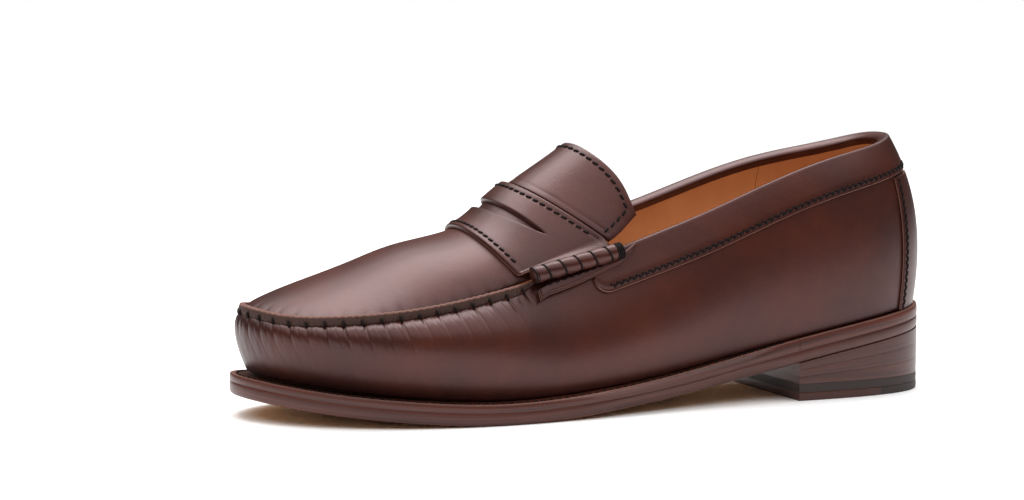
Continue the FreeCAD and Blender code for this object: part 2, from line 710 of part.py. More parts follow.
def beef_roll(name, side):
    label = "beef_roll_" + name
    body = doc.addObject("PartDesign::Body", label)
    half = body.newObject("Sketcher::SketchObject", label + "_half")
    half.AttachmentSupport = [(plane(body, "XZ_Plane"), "")]
    half.MapMode = "FlatFace"
    count = int(dim("roll_humps"))
    width = dim("roll_length") / count
    low, high = dim("roll_waist"), dim("roll_radius")
    point = lambda x, r: FreeCAD.Vector(x, r, 0)
    for i in range(count):
        start, top, stop = point(i * width, low), point((i + 0.5) * width, high), point((i + 1) * width, low)
        half.addGeometry(Part.Arc(start, top, stop))
    end = count * width
    half.addGeometry(Part.LineSegment(point(end, low), point(end, 0)))
    half.addGeometry(Part.LineSegment(point(end, 0), point(0, 0)))
    half.addGeometry(Part.LineSegment(point(0, 0), point(0, low)))
    turn = body.newObject("PartDesign::Revolution", label + "_turn")
    turn.Profile = half
    turn.ReferenceAxis = (half, ["H_Axis"])
    turn.Angle = 360
    body.Tip = turn
    front = roll_end(ROLL_FRONT, side, dim("roll_up_front"))
    back = roll_end(ROLL_BACK, side, dim("roll_up_back"))
    body.Placement = FreeCAD.Placement(front, FreeCAD.Rotation(FreeCAD.Vector(1, 0, 0), back - front))
    base = body.Placement.Base
    place(body, label)
    body.setExpression("Placement.Base.x", "%.3f - Sizes.sole_length / 2" % base.x)
    body.setExpression("Placement.Base.y", "%.3f - Sizes.sole_middle" % base.y)


# the foot's upper edge under the topline, along the leather
foot_drop = graph((145, 3.5), (165, 3.5), (187, 4.9))
FOOT_IN = dim("foot_stand")
FOOT_OUT = FOOT_IN + dim("foot_thickness")


def strap_foot(name, side):
    def foot(t, v):
        drop = foot_drop(top_plan(t)[0]) + dim("foot_height") * (1 - v)
        return wall(t, share_below(t, drop))

    label = "strap_foot_" + name
    low, high = sorted((station(FOOT_FRONT, side), station(FOOT_BACK, side)))
    place(panel(label, foot, spread(low, high, 9), spread(0, 1, 4), FOOT_IN, FOOT_OUT), label)


for name, side in SIDES.items():
    beef_roll(name, side)
    strap_foot(name, side)

hinge = crest(STRAP_REAR + 0.05)
print("tongue hinge at %.2f %.2f %.2f" % (hinge[0] - LENGTH / 2, hinge[1] - dim("sole_middle"), hinge[2]))

# ---------------------------------------------------------------- check and export
doc.recompute()
for thing in doc.Objects:
    if "Invalid" in thing.State or "Error" in thing.State:
        raise RuntimeError("%s did not build: %s" % (thing.Label, thing.State))
os.makedirs("parts", exist_ok=True)
for node in nodes:
    shape = node.Shape
    if shape.isNull() or not shape.isValid() or shape.Volume <= 0:
        raise RuntimeError("%s has no good solid" % node.Label)
    shape.exportStep("parts/%s.step" % node.Label)
    box = shape.BoundBox
    print("%-24s solids %d volume %9.1f" % (node.Label, len(shape.Solids), shape.Volume), box)
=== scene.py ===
import bmesh
import bpy
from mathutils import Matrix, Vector
import numpy as np


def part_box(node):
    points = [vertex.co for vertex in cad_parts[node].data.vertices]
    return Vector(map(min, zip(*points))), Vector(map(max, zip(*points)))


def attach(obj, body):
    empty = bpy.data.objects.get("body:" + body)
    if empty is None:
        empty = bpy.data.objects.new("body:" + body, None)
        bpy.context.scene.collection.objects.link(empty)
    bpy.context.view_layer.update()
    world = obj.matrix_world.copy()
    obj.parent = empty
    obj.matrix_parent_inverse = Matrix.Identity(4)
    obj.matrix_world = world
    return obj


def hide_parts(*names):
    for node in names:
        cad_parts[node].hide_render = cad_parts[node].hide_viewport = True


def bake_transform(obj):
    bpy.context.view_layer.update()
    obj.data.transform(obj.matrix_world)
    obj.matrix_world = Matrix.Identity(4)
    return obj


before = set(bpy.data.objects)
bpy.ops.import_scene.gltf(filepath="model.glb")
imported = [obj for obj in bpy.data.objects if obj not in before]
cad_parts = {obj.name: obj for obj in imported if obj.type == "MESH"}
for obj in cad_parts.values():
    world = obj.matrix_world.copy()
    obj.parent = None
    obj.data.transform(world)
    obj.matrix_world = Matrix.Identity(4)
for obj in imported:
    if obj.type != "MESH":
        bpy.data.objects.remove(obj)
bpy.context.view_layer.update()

print("frame loaded")

# Lengths are millimetres, with x from the back of the heel to the toe, y to the outer side
# of the foot and z up. saveMesh turns them into the frame's metres.


# curves, the same as the frame's own lasts
def splineThrough(knots, points, period=None):
    ks, ps = np.array(knots, float), np.array(points, float)
    if period:
        ks = np.append(ks, ks[0] + period)
        ps = np.vstack([ps, ps[:1]])
    spans = len(ks) - 1
    size = spans if period else spans + 1
    steps = np.diff(ks)
    left, right = np.zeros((size, size)), np.zeros((size, ps.shape[1]))
    for i in range(size):
        if not period and i in (0, spans):
            left[i, i] = 1.0
            continue
        before, after = steps[i - 1], steps[i]
        left[i, (i - 1) % size] += before
        left[i, i] += 2 * (before + after)
        left[i, (i + 1) % size] += after
        previous = ps[i - 1] if i else ps[spans - 1]
        right[i] = 6 * ((ps[i + 1] - ps[i]) / after - (ps[i] - previous) / before)
    bend = np.linalg.solve(left, right)
    if period:
        bend = np.vstack([bend, bend[:1]])

    def at(t):
        t = np.asarray(t, float)
        if period:
            t = ks[0] + (t - ks[0]) % period
        i = np.clip(np.searchsorted(ks, t, side="left") - 1, 0, spans - 1)
        w = steps[i][..., None]
        a = (ks[i + 1][..., None] - t[..., None]) / w
        b = 1 - a
        curve = ((a ** 3 - a) * bend[i] + (b ** 3 - b) * bend[i + 1]) * w * w / 6
        return a * ps[i] + b * ps[i + 1] + curve

    return at


def graphOf(*pairs):
    through = splineThrough([p[0] for p in pairs], [(p[1],) for p in pairs])
    low, high = pairs[0][0], pairs[-1][0]
    return lambda x: through(np.clip(x, low, high))[..., 0]


def ease(x, low, high):
    s = np.clip((np.asarray(x, float) - low) / (high - low), 0.0, 1.0)
    return s * s * (3 - 2 * s)


def unit(vectors):
    return vectors / np.maximum(np.linalg.norm(vectors, axis=-1, keepdims=True), 1e-12)


def runLength(points):
    steps = np.linalg.norm(np.diff(points, axis=0), axis=-1)
    return np.concatenate([[0.0], np.cumsum(steps)])


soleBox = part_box("outsole")
length = round((soleBox[1][0] - soleBox[0][0]) * 1000, 1)
last = {
    "ballLateral": 52.6, "ballMedial": 50.8, "heelLateral": 35.8, "heelMedial": 33.2,
    "waistLateral": 38.2, "waistMedial": 30.6, "toeShift": 6.0, "ballPlace": 204.0,
    "ballLift": 0.03, "toeSpring": 9.4, "breast": 71.0, "breastHeight": 15.7, "backHeight": 27.0,
    "outsole": 5.0, "welt": 3.2, "randExtra": 1.6, "glue": 0.05, "weltLand": 5.0,
    "insole": 2.5, "sock": 1.0, "heelPad": 2.4, "topPiece": 3.5, "topSplit": 31.0, "rubberLayer": 3.5,
    "leather": 1.4, "lining": 1.0, "stiffener": 1.0, "layerGap": 0.3, "lipDrop": 3.6, "lipOut": 2.2,
}

outlinePoints = np.array([
    (0.0, 0.0),
    (0.030 * length, 0.67 * last["heelLateral"]),
    (0.126 * length, last["heelLateral"]),
    (0.316 * length, last["waistLateral"]),
    (0.500 * length, 0.884 * last["ballLateral"]),
    (last["ballPlace"], last["ballLateral"]),
    (0.811 * length, 0.897 * last["ballLateral"]),
    (0.918 * length, 0.599 * last["ballLateral"]),
    (0.980 * length, 0.228 * last["ballLateral"]),
    (length, -last["toeShift"]),
    (0.977 * length, -0.463 * last["ballMedial"]),
    (0.908 * length, -0.748 * last["ballMedial"]),
    (0.801 * length, -0.945 * last["ballMedial"]),
    (last["ballPlace"], -last["ballMedial"]),
    (0.500 * length, -0.713 * last["ballMedial"]),
    (0.350 * length, -last["waistMedial"]),
    (0.126 * length, -last["heelMedial"]),
    (0.030 * length, -0.68 * last["heelMedial"]),
])
aroundPoints = runLength(np.vstack([outlinePoints, outlinePoints[:1]]))
outline = splineThrough(aroundPoints[:-1] / aroundPoints[-1], outlinePoints, 1.0)
outlineFine = outline(np.arange(20000) / 20000)
soleMiddle = (outlineFine[:, 1].max() + outlineFine[:, 1].min()) / 2
heelPlace = np.array([-length / 2, -soleMiddle, 0.0])


def outward(t, e=1e-4):
    d = unit(outline(np.asarray(t) + e) - outline(np.asarray(t) - e))
    return np.stack([-d[..., 1], d[..., 0]], axis=-1)


bottom = graphOf(
    (0, last["backHeight"]), (last["breast"], last["breastHeight"]), (100, 0.62 * last["breastHeight"]),
    (135, 0.28 * last["breastHeight"]), (175, 0.064 * last["breastHeight"]),
                 (last["ballPlace"], last["ballLift"]),
    (240, 0.21 * last["toeSpring"]), (270, 0.54 * last["toeSpring"]), (length, last["toeSpring"]),
)
weltTop = last["outsole"] + last["welt"]


def seat(x):
    return bottom(x) + weltTop + last["randExtra"] * (1 - ease(x, 90, 190))


featherInset = graphOf((0, 3.2), (60, 3.2), (110, 4.5), (160, 6.5), (205, 8.5), (260, 8.0), (300, 7.0))
topPlanPoints = np.array([
    (14.5, 0), (22, 17.5), (48, 27.2), (111, 29.5), (138.6, 31), (165, 33.5), (203, 36),
    (244, 36), (269, 29.3), (285.3, 14.6), (292.3, -6), (286, -22), (269, -33), (240, -38.5),
    (203, -38), (165, -34), (138.6, -31), (111, -29), (48, -25.8), (22, -16.5),
], float)
topHeight = graphOf(
    (14.5, 107.3), (22, 105), (48, 99.2), (68, 93.7), (111, 77.2), (138.6, 68), (165, 60.0),
    (200, 51.4), (222, 47.2), (244, 44.4), (270, 42.8), (286, 43.2), (292.3, 44.6),
)
medialRise = graphOf((14.5, 0), (48, 0), (85, 2.0), (111, 3.3), (138.6, 3.0), (175, 1.0), (230, 0.5),
                     (300, 0))


def nearestOnOutline(point):
    return np.argmin(np.linalg.norm(outlineFine - point, axis=1)) / len(outlineFine)


topPlan = splineThrough([0.0] + [nearestOnOutline(p) for p in topPlanPoints[1:]], topPlanPoints, 1.0)


def topEdge(t):
    xy = topPlan(t)
    rise = np.where(xy[..., 1] < 0, medialRise(xy[..., 0]), 0.0) * ease(-xy[..., 1], 0, 20)
    return np.concatenate([xy, (topHeight(xy[..., 0]) + rise)[..., None]], axis=-1)


def station(x, side):
    ts = np.linspace(0.02, 0.5, 6000) if side > 0 else np.linspace(0.98, 0.5, 6000)
    return float(np.interp(x, topPlan(ts)[:, 0], ts))


# the wall of the upper
lowReach = graphOf((0, 3.6), (30, 3.4), (71, 5), (110, 7), (160, 8), (205, 9), (250, 8.5), (285, 6.5),
                   (300, 4.6))
topReach = graphOf(
    (0, 14), (30, 12), (71, 8.5), (110, 7.5), (150, 6), (178, 6), (205, 11), (250, 10), (285, 5.5),
                   (300, 3.5))
lowShare = graphOf((0, 0.34), (110, 0.36), (205, 0.42), (300, 0.45))
topShare = graphOf((0, 0.34), (110, 0.30), (170, 0.28), (210, 0.16), (300, 0.16))


def wallPoints(t, v):
    t, v = np.broadcast_arrays(np.asarray(t, float), np.asarray(v, float))
    xy, n = outline(t), outward(t)
    x = xy[..., 0]
    out = np.concatenate([n, np.zeros(n.shape[:-1] + (1,))], axis=-1)
    up = np.array([0.0, 0.0, 1.0])
    foot = np.concatenate([xy, (seat(x) + 2 * last["glue"])[..., None]],
                          axis=-1) - out * featherInset(x)[..., None]
    edge = topEdge(t)
    lip = ease(edge[..., 0], 182, 197)[..., None]
    head = edge + out * last["lipOut"] * lip - up * last["lipDrop"] * lip
    rise = (head - foot)[..., 2]
    low = foot + out * lowReach(x)[..., None] + up * (lowShare(x) * rise)[..., None]
    high = head + out * topReach(x)[..., None] - up * (topShare(x) * rise)[..., None]
    w = v[..., None]
    return (1 - w) ** 3 * foot + 3 * w * (1 - w) ** 2 * low + 3 * w * w * (1 - w) * high + w ** 3 * head


def wallNormals(t, v, e=1e-3):
    across = wallPoints(t + e, v) - wallPoints(t - e, v)
    along = wallPoints(t, v + e) - wallPoints(t, v - e)
    return unit(np.cross(along, across))


wallSamples = np.linspace(1, 0, 61)


def wallAt(t, below, off):
    # t for each column, below and off for each point: mm under the top edge and out of the leather
    t = np.asarray(t, float)
    below, off = np.broadcast_arrays(below, off)
    fine = wallPoints(t[:, None], wallSamples[None, :])
    normals = wallNormals(t[:, None], wallSamples[None, :])
    points = np.empty(below.shape + (3,))
    for i in range(len(t)):
        run = runLength(fine[i])
        up = unit(fine[i, 0] - fine[i, 1])
        for axis in range(3):
            points[i, :, axis] = np.interp(below[i], run, fine[i, :, axis])
            points[i, :, axis] += np.interp(below[i], run, normals[i, :, axis]) * off[i]
        points[i] += np.maximum(-below[i], 0)[:, None] * up
    return points


# the instep: apron and tongue
sectionX = [291.6, 285.5, 269, 243, 218, 190, 168, 150]
crestPoints = [
    (291.7, -6, 43.9), (287.5, -6, 46.2), (272.5, -6, 51.6), (250, -5, 59.2), (229.5, -4, 66.4),
    (206, -3, 71.8), (193, -3, 80.8), (181, -3, 90.2), (168, -3, 98.6), (156.5, -3, 106.0)]
archPowers = [1.0, 1.0, 1.05, 1.15, 1.3, 1.5, 1.6, 1.6, 1.55, 1.5]
tongueSides = {1: [(140, 29, 72.5), (131.5, 27.5, 80.5)], -1: [(142, -29, 74), (136, -27, 82)]}


def seamPoints(side):
    points = []
    for x in sectionX:
        a = topEdge(station(x, side))
        points.append((a[0], a[1] - side * 0.3, a[2] - 1.5 * float(ease(x, 184, 200)) + 0.5))
    return points + tongueSides[side]


sectionOrder = list(range(len(crestPoints)))
lateralSeam = splineThrough(sectionOrder, seamPoints(1))
medialSeam = splineThrough(sectionOrder, seamPoints(-1))
crestLine = splineThrough(sectionOrder, crestPoints)
archPower = splineThrough(sectionOrder, [(p,) for p in archPowers])


def instepPoints(u, v):
    u, v = np.broadcast_arrays(np.asarray(u, float), np.asarray(v, float))
    a, b, c = lateralSeam(u), medialSeam(u), crestLine(u)
    q = np.maximum(0.0, 1 - np.abs(v) ** 2.2) ** (1 / archPower(u)[..., 0])
    share = ((v + 1) / 2)[..., None]
    return b + (a - b) * share + (c - (a + b) / 2) * q[..., None]


def instepNormals(u, v, e=1e-3):
    along = instepPoints(u + e, v) - instepPoints(u - e, v)
    across = instepPoints(u, v + e) - instepPoints(u, v - e)
    return unit(np.cross(across, along))


strapFront, strapRear, tongueTop = 5.0, 6.86, 9.0


def tongueRoot(v):
    return strapRear + 0.1 * v * v


print("curves ready")


# materials
def hexColour(text):
    parts = [int(text[i:i + 2], 16) / 255 for i in (1, 3, 5)]
    return tuple(c / 12.92 if c <= 0.04045 else ((c + 0.055) / 1.055) ** 2.4 for c in parts) + (1.0,)


def addNode(material, kind, values=None, links=None, **settings):
    node = material.node_tree.nodes.new(kind)
    for name, value in settings.items():
        setattr(node, name, value)
    for name, value in (values or {}).items():
        node.inputs[name].default_value = value
    for name, source in (links or {}).items():
        material.node_tree.links.new(node.inputs[name], source)
    return node


def newMaterial(name, values):
    material = bpy.data.materials.new(name)
    material.use_nodes = True
    shader = material.node_tree.nodes["Principled BSDF"]
    for key, value in values.items():
        shader.inputs[key].default_value = value
    return material, shader


def link(material, source, target):
    material.node_tree.links.new(target, source)


def addBump(material, shader, height, distance, strength, under=None):
    links = {"Height": height}
    if under:
        links["Normal"] = under
    bump = addNode(material, "ShaderNodeBump", {"Distance": distance, "Strength": strength}, links)
    link(material, bump.outputs["Normal"], shader.inputs["Normal"])
    return bump.outputs["Normal"]


def coordinates(material, stretch=(1, 1, 1)):
    place = addNode(material, "ShaderNodeTexCoord")
    mapping = addNode(material, "ShaderNodeMapping", {"Scale": stretch}, {"Vector": place.outputs["Object"]})
    return mapping.outputs["Vector"]


def perMetre(millimetres):
    return 1000.0 / millimetres


calf = {
    "body": "#34150e", "warm": "#471d11", "burnish_and_shade": "#0c0403", "grain": 0.7, "cloud": 26.0, "streak": 7.0,
    "roughness": 0.4, "shine": 0.5, "tint": "#ffd6d6", "coat": 0.08, "coatRoughness": 0.2,
}


def waxedCalf(name, body, warm, burnish_and_shade):
    # smooth aniline box calf, burnished and waxed: a warm brown under a soft mauve shine, darker at edges and
    # seams through the burnish_and_shade attribute, partly real burnish and partly painted shade
    material, shader = newMaterial(name, {
        "Roughness": calf["roughness"], "Specular IOR Level": calf["shine"],
        "Specular Tint": hexColour(calf["tint"]), "Coat Weight": calf["coat"],
        "Coat Roughness": calf["coatRoughness"], "Coat IOR": 1.5})
    spot = coordinates(material)
    cloud = addNode(material, "ShaderNodeTexNoise", {"Scale": perMetre(calf["cloud"]), "Detail": 4.0},
                    {"Vector": spot})
    streak = addNode(material, "ShaderNodeTexNoise",
                     {"Scale": perMetre(calf["streak"]), "Detail": 6.0, "Roughness": 0.65},
                     {"Vector": spot})
    patchy = addNode(material, "ShaderNodeMapRange", {"From Min": 0.3, "From Max": 0.7},
                     {"Value": cloud.outputs["Fac"]})
    tone = addNode(material, "ShaderNodeMix", {"A": hexColour(body), "B": hexColour(warm)},
                   {"Factor": patchy.outputs["Result"]}, data_type="RGBA")
    # the burnish_and_shade attribute mixes in the dark colour: real burnish at toe, heel and edges, and
    # painted shade along the welt, under the seam lip and in creases and folds
    shade = addNode(material, "ShaderNodeAttribute", attribute_name="burnish_and_shade")
    uneven = addNode(material, "ShaderNodeMath", {1: 0.5}, {0: streak.outputs["Fac"]}, operation="SUBTRACT")
    spread = addNode(material, "ShaderNodeMath", {1: 0.7}, {0: uneven.outputs[0]}, operation="MULTIPLY")
    dark = addNode(material, "ShaderNodeMath", None, {0: shade.outputs["Fac"], 1: spread.outputs[0]},
                   operation="ADD", use_clamp=True)
    mixed = addNode(material, "ShaderNodeMix", {"B": hexColour(burnish_and_shade)},
                    {"Factor": dark.outputs[0], "A": tone.outputs["Result"]}, data_type="RGBA")
    link(material, mixed.outputs["Result"], shader.inputs["Base Color"])
    # hair pores and fine wrinkles, drawn at 0.7 mm so that they show
    pores = addNode(material, "ShaderNodeTexVoronoi", {"Scale": perMetre(calf["grain"])}, {"Vector": spot})
    grain = addBump(material, shader, pores.outputs["Distance"], 0.00012, 0.22)
    addBump(material, shader, streak.outputs["Fac"], 0.0006, 0.2, grain)
    return material


upperCalf = waxedCalf("waxed_box_calf", calf["body"], calf["warm"], calf["burnish_and_shade"])

cutEdge = {"colour": "#8a5f52", "dark": "#4c2d24", "rawColour": "#4d2a1e", "rawDark": "#170a07", "fibre": 0.5}


def cutLeatherEdge(name, colour, dark):
    # the cut edge of dyed calf: paler, dull and fibrous beside the polished face
    material, shader = newMaterial(name, {"Roughness": 0.72, "IOR": 1.48})
    fibre = addNode(material, "ShaderNodeTexNoise", {"Scale": perMetre(cutEdge["fibre"]), "Detail": 6.0},
                    {"Vector": coordinates(material)})
    tone = addNode(material, "ShaderNodeMix", {"A": hexColour(dark), "B": hexColour(colour)},
                   {"Factor": fibre.outputs["Fac"]}, data_type="RGBA")
    link(material, tone.outputs["Result"], shader.inputs["Base Color"])
    addBump(material, shader, fibre.outputs["Fac"], 0.0003, 0.5)
    return material


calfEdge = cutLeatherEdge("cut_calf_edge", cutEdge["colour"], cutEdge["dark"])
rawSeamEdge = cutLeatherEdge("raw_seam_edge", cutEdge["rawColour"], cutEdge["rawDark"])

lining = {"light": "#d9a272", "deep": "#bd7f4d", "patch": 18.0, "grain": 0.6}


def tannedLining():
    # vegetable-tanned calf lining: an orange tan, matt, with a fine even grain
    material, shader = newMaterial("tan_lining_leather", {"Roughness": 0.55, "IOR": 1.5})
    spot = coordinates(material)
    patch = addNode(material, "ShaderNodeTexNoise", {"Scale": perMetre(lining["patch"]), "Detail": 5.0},
                    {"Vector": spot})
    tone = addNode(material, "ShaderNodeMix",
                   {"A": hexColour(lining["deep"]), "B": hexColour(lining["light"])},
                   {"Factor": patch.outputs["Fac"]}, data_type="RGBA")
    link(material, tone.outputs["Result"], shader.inputs["Base Color"])
    pores = addNode(material, "ShaderNodeTexVoronoi", {"Scale": perMetre(lining["grain"])}, {"Vector": spot})
    addBump(material, shader, pores.outputs["Distance"], 0.0001, 0.3)
    return material


liningLeather = tannedLining()

soleEdge = {"brown": "#5d2b20", "dark": "#36170f", "line": 0.9, "run": 70.0}


def stackedEdge(name, brown, dark, line):
    # layers of bend leather, sanded, inked and waxed: fine lines run along the edge
    material, shader = newMaterial(name, {"Roughness": 0.42, "Specular IOR Level": 0.4, "Coat Weight": 0.15,
                                          "Coat Roughness": 0.3})
    spot = coordinates(material, (perMetre(soleEdge["run"]), perMetre(soleEdge["run"]), 1.0))
    height = addNode(material, "ShaderNodeAttribute", attribute_name="layer")
    parts = addNode(material, "ShaderNodeSeparateXYZ", None, {0: spot})
    up = addNode(material, "ShaderNodeMath", {1: 1.0 / line}, {0: height.outputs["Fac"]},
                 operation="MULTIPLY")
    along = addNode(material, "ShaderNodeCombineXYZ", None,
                    {0: parts.outputs[0], 1: parts.outputs[1], 2: up.outputs[0]})
    lines = addNode(material, "ShaderNodeTexNoise", {"Scale": 1.0, "Detail": 3.0, "Roughness": 0.6},
                    {"Vector": along.outputs[0]})
    ramp = addNode(material, "ShaderNodeMapRange", {"From Min": 0.3, "From Max": 0.7},
                   {"Value": lines.outputs["Fac"]})
    tone = addNode(material, "ShaderNodeMix", {"A": hexColour(dark), "B": hexColour(brown)},
                   {"Factor": ramp.outputs["Result"]}, data_type="RGBA")
    link(material, tone.outputs["Result"], shader.inputs["Base Color"])
    addBump(material, shader, lines.outputs["Fac"], 0.0002, 0.25)
    return material


inkedEdge = stackedEdge("inked_sole_edge", soleEdge["brown"], soleEdge["dark"], soleEdge["line"])
stackEdge = stackedEdge("inked_stack_edge", "#512920", "#3a1b14", 1.4)


def plainMaterial(name, light, dark, roughness, size, height, values=None):
    # one even finish, clouded a little by a noise of the size given in millimetres
    material, shader = newMaterial(name, {"Roughness": roughness, **(values or {})})
    cloud = addNode(material, "ShaderNodeTexNoise", {"Scale": perMetre(size), "Detail": 5.0},
                    {"Vector": coordinates(material)})
    tone = addNode(material, "ShaderNodeMix", {"A": hexColour(dark), "B": hexColour(light)},
                   {"Factor": cloud.outputs["Fac"]}, data_type="RGBA")
    link(material, tone.outputs["Result"], shader.inputs["Base Color"])
    addBump(material, shader, cloud.outputs["Fac"], height, 0.4)
    return material


bendTread = plainMaterial("oak_bark_sole_leather", "#b98a5c", "#a0713f", 0.5, 9.0,
                          0.0003)  # walked-on grain side
heelRubber = plainMaterial("moulded_heel_rubber", "#33231f", "#231815", 0.6, 1.2, 0.0002,
                           {"IOR": 1.52})  # dull black
waxThread = plainMaterial("waxed_linen_thread", "#170a07", "#0a0504", 0.75, 0.5, 0.0001,
                          {"Specular IOR Level": 0.2})  # dark, slightly shiny
corkFill = plainMaterial("ground_cork", "#a97a4d", "#7b5430", 0.9, 1.5, 0.0006)  # crumbly and light
shankSteel = plainMaterial("spring_steel", "#8d8f92", "#77797c", 0.35, 6.0, 0.00005,
                           {"Metallic": 1.0})  # cold grey
nailBrass = plainMaterial("cut_brass_nail", "#c9a35a", "#a8823f", 0.35, 2.0, 0.00005,
                          {"Metallic": 1.0})  # dull yellow
insoleBoard = plainMaterial("insole_shoulder_leather", "#b48a62", "#98704a", 0.7, 5.0,
                            0.0003)  # pale and matt
padFoam = plainMaterial("latex_foam", "#d9cbb0", "#c7b896", 0.9, 0.8, 0.0005)  # soft cream
puffBoard = plainMaterial("leather_board", "#a98a68", "#8c6c4b", 0.85, 2.0, 0.0003)  # stiff, felted
print("materials ready")


# mesh helpers
def saveMesh(name, points, faces, materials, slotName, nodes=(), body="shoe", attributes=None,
             faceMaterial=None,
             sharp=38, carry=True):
    mesh = bpy.data.meshes.new(name)
    metres = (np.asarray(points, float) + heelPlace) * 0.001
    mesh.from_pydata(metres.tolist(), [], [tuple(int(k) for k in f) for f in faces])
    for key, values in (attributes or {}).items():
        attribute = mesh.attributes.new(key, "FLOAT", "POINT")
        attribute.data.foreach_set("value", np.asarray(values, np.float32).ravel())
    for material in materials:
        mesh.materials.append(material)
    if faceMaterial is not None:
        mesh.polygons.foreach_set("material_index", np.asarray(faceMaterial, np.int32))
    mesh.polygons.foreach_set("use_smooth", np.ones(len(mesh.polygons), bool))
    mesh.update()
    cleaned = bmesh.new()
    cleaned.from_mesh(mesh)
    bmesh.ops.remove_doubles(cleaned, verts=cleaned.verts, dist=2e-6)
    bmesh.ops.recalc_face_normals(cleaned, faces=cleaned.faces)
    cleaned.to_mesh(mesh)
    cleaned.free()
    mesh.set_sharp_from_angle(angle=np.radians(sharp))
    thing = bpy.data.objects.new(name, mesh)
    bpy.context.scene.collection.objects.link(thing)
    if nodes:
        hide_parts(*nodes)
    if carry:
        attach(thing, body)
    return thing


def gridFaces(rows, columns, start=0, closedRows=False, closedColumns=False):
    r = np.arange(rows if closedRows else rows - 1)
    c = np.arange(columns if closedColumns else columns - 1)
    i, j = np.meshgrid(r, c, indexing="ij")
    a = i * columns + j
    b = ((i + 1) % rows) * columns + j
    d = i * columns + (j + 1) % columns
    e = ((i + 1) % rows) * columns + (j + 1) % columns
    return np.stack([a, d, e, b], axis=-1).reshape(-1, 4) + start


def skinFaces(rows, columns, closedRows=False):
    # outer grid, then inner grid, then the rims between them
    count = rows * columns
    faces = [gridFaces(rows, columns, 0, closedRows), gridFaces(rows, columns, count, closedRows)[:, ::-1]]
    index = np.arange(count).reshape(rows, columns)
    rims = [(index[:, 0], closedRows), (index[:, -1], closedRows)]
    if not closedRows:
        rims += [(index[0, :], False), (index[-1, :], False)]
    for rim, closed in rims:
        following = np.roll(rim, -1)
        pair = np.stack([rim, following, following + count, rim + count], axis=-1)
        faces.append(pair if closed else pair[:-1])
    return np.vstack(faces)


def edgeFade(points, radius, closedRows=False, sides=(True, True, True, True)):
    # 0 at the cut edges of a sheet, 1 from one radius inside them, by a quarter round
    rows, columns = points.shape[:2]
    distance = np.full((rows, columns), 1e9)
    if not closedRows and (sides[0] or sides[1]):
        run = np.concatenate([np.zeros((1, columns)),
                              np.cumsum(np.linalg.norm(np.diff(points, axis=0), axis=-1), axis=0)])
        if sides[0]:
            distance = np.minimum(distance, run)
        if sides[1]:
            distance = np.minimum(distance, run[-1:] - run)
    run = np.concatenate([np.zeros((rows, 1)),
                          np.cumsum(np.linalg.norm(np.diff(points, axis=1), axis=-1), axis=1)], axis=1)
    if sides[2]:
        distance = np.minimum(distance, run)
    if sides[3]:
        distance = np.minimum(distance, run[:, -1:] - run)
    near = np.clip(distance / radius, 0, 1)
    return np.sqrt(np.maximum(0, 1 - (1 - near) ** 2)), distance


def edgedSpread(low, high, count, first, finish):
    # evenly spread, with extra lines close to the ends; first and finish are how wide the close lines are
    inside = np.linspace(low + first, high - finish, count)
    start = low + first * np.array([0.0, 0.06, 0.2, 0.5])
    end = high - finish * np.array([0.5, 0.2, 0.06, 0.0])
    return np.concatenate([start, inside, end])


def leatherSheet(name, base, normals, thickness, radius, low, slotName="upper", nodes=(), body="shoe",
                 relief=0.0,
                 closed=False, burnish_and_shade=0.0, material=None, edge=None, sides=(True, True, True, True),
                 carry=True):
    # low is how far the flesh side stands off the surface; the grain side is thickness above it
    fade, distance = edgeFade(base, radius, closed, sides)
    top = low + thickness * (0.45 + 0.55 * fade) + relief
    outer = base + normals * top[..., None] if np.ndim(top) else base + normals * top
    inner = base + normals * low
    rows, columns = base.shape[:2]
    points = np.vstack([outer.reshape(-1, 3), inner.reshape(-1, 3)])
    faces = skinFaces(rows, columns, closed)
    shade = np.broadcast_to(burnish_and_shade, (rows, columns)).ravel()
    facesOuter = (rows if closed else rows - 1) * (columns - 1)
    pick = np.zeros(len(faces), np.int32)
    pick[2 * facesOuter:] = 1
    return saveMesh(name, points, faces, [material or upperCalf, edge or calfEdge], slotName, nodes, body,
                    {"burnish_and_shade": np.concatenate([shade, shade])}, pick, carry=carry)


def stitches(name, points, normals, pitch, share, radius, slotName="upper", body="shoe", start=0.0, end=0.0,
             material=None, slant=0.0, lift=0.35, carry=True):
    # one row of stitches laid along points on a surface, each end pulled down into its hole
    run = runLength(points)
    room = run[-1] - start - end
    count = max(1, int(room / pitch))
    sides, rings = 8, 9
    centre = start + (np.arange(count) + 0.5) * room / count
    s = np.linspace(-1, 1, rings)
    where = centre[:, None] + s[None, :] * pitch * share / 2
    spot = np.stack([np.interp(where, run, points[:, k]) for k in range(3)], axis=-1)
    normal = unit(np.stack([np.interp(where, run, normals[:, k]) for k in range(3)], axis=-1))
    tangent = unit(np.gradient(spot, axis=1))
    side = unit(np.cross(normal, tangent))
    height = radius * (lift + 1.2 * (np.sqrt(np.maximum(0, 1 - s ** 4)) - 1))
    spot = spot + normal * height[None, :, None] + side * (slant * s)[None, :, None]
    angle = np.arange(sides) * 2 * np.pi / sides
    girth = radius * np.array([0.35, 0.8, 1, 1, 1, 1, 1, 0.8, 0.35])
    circle = side[:, :, None, :] * np.cos(angle)[None, None, :, None] + normal[:, :, None,
                                                        :] * np.sin(angle)[None, None, :, None]
    verts = (spot[:, :, None, :] + circle * girth[None, :, None, None]).reshape(-1, 3)
    faces = []
    for k in range(count):
        base = k * rings * sides
        faces += gridFaces(rings, sides, base, closedColumns=True).tolist()
        faces.append(tuple(range(base, base + sides)))
        faces.append(tuple(range(base + (rings - 1) * sides, base + rings * sides)))
    return saveMesh(name, verts, faces, [material or waxThread], slotName, (), body, sharp=80, carry=carry)


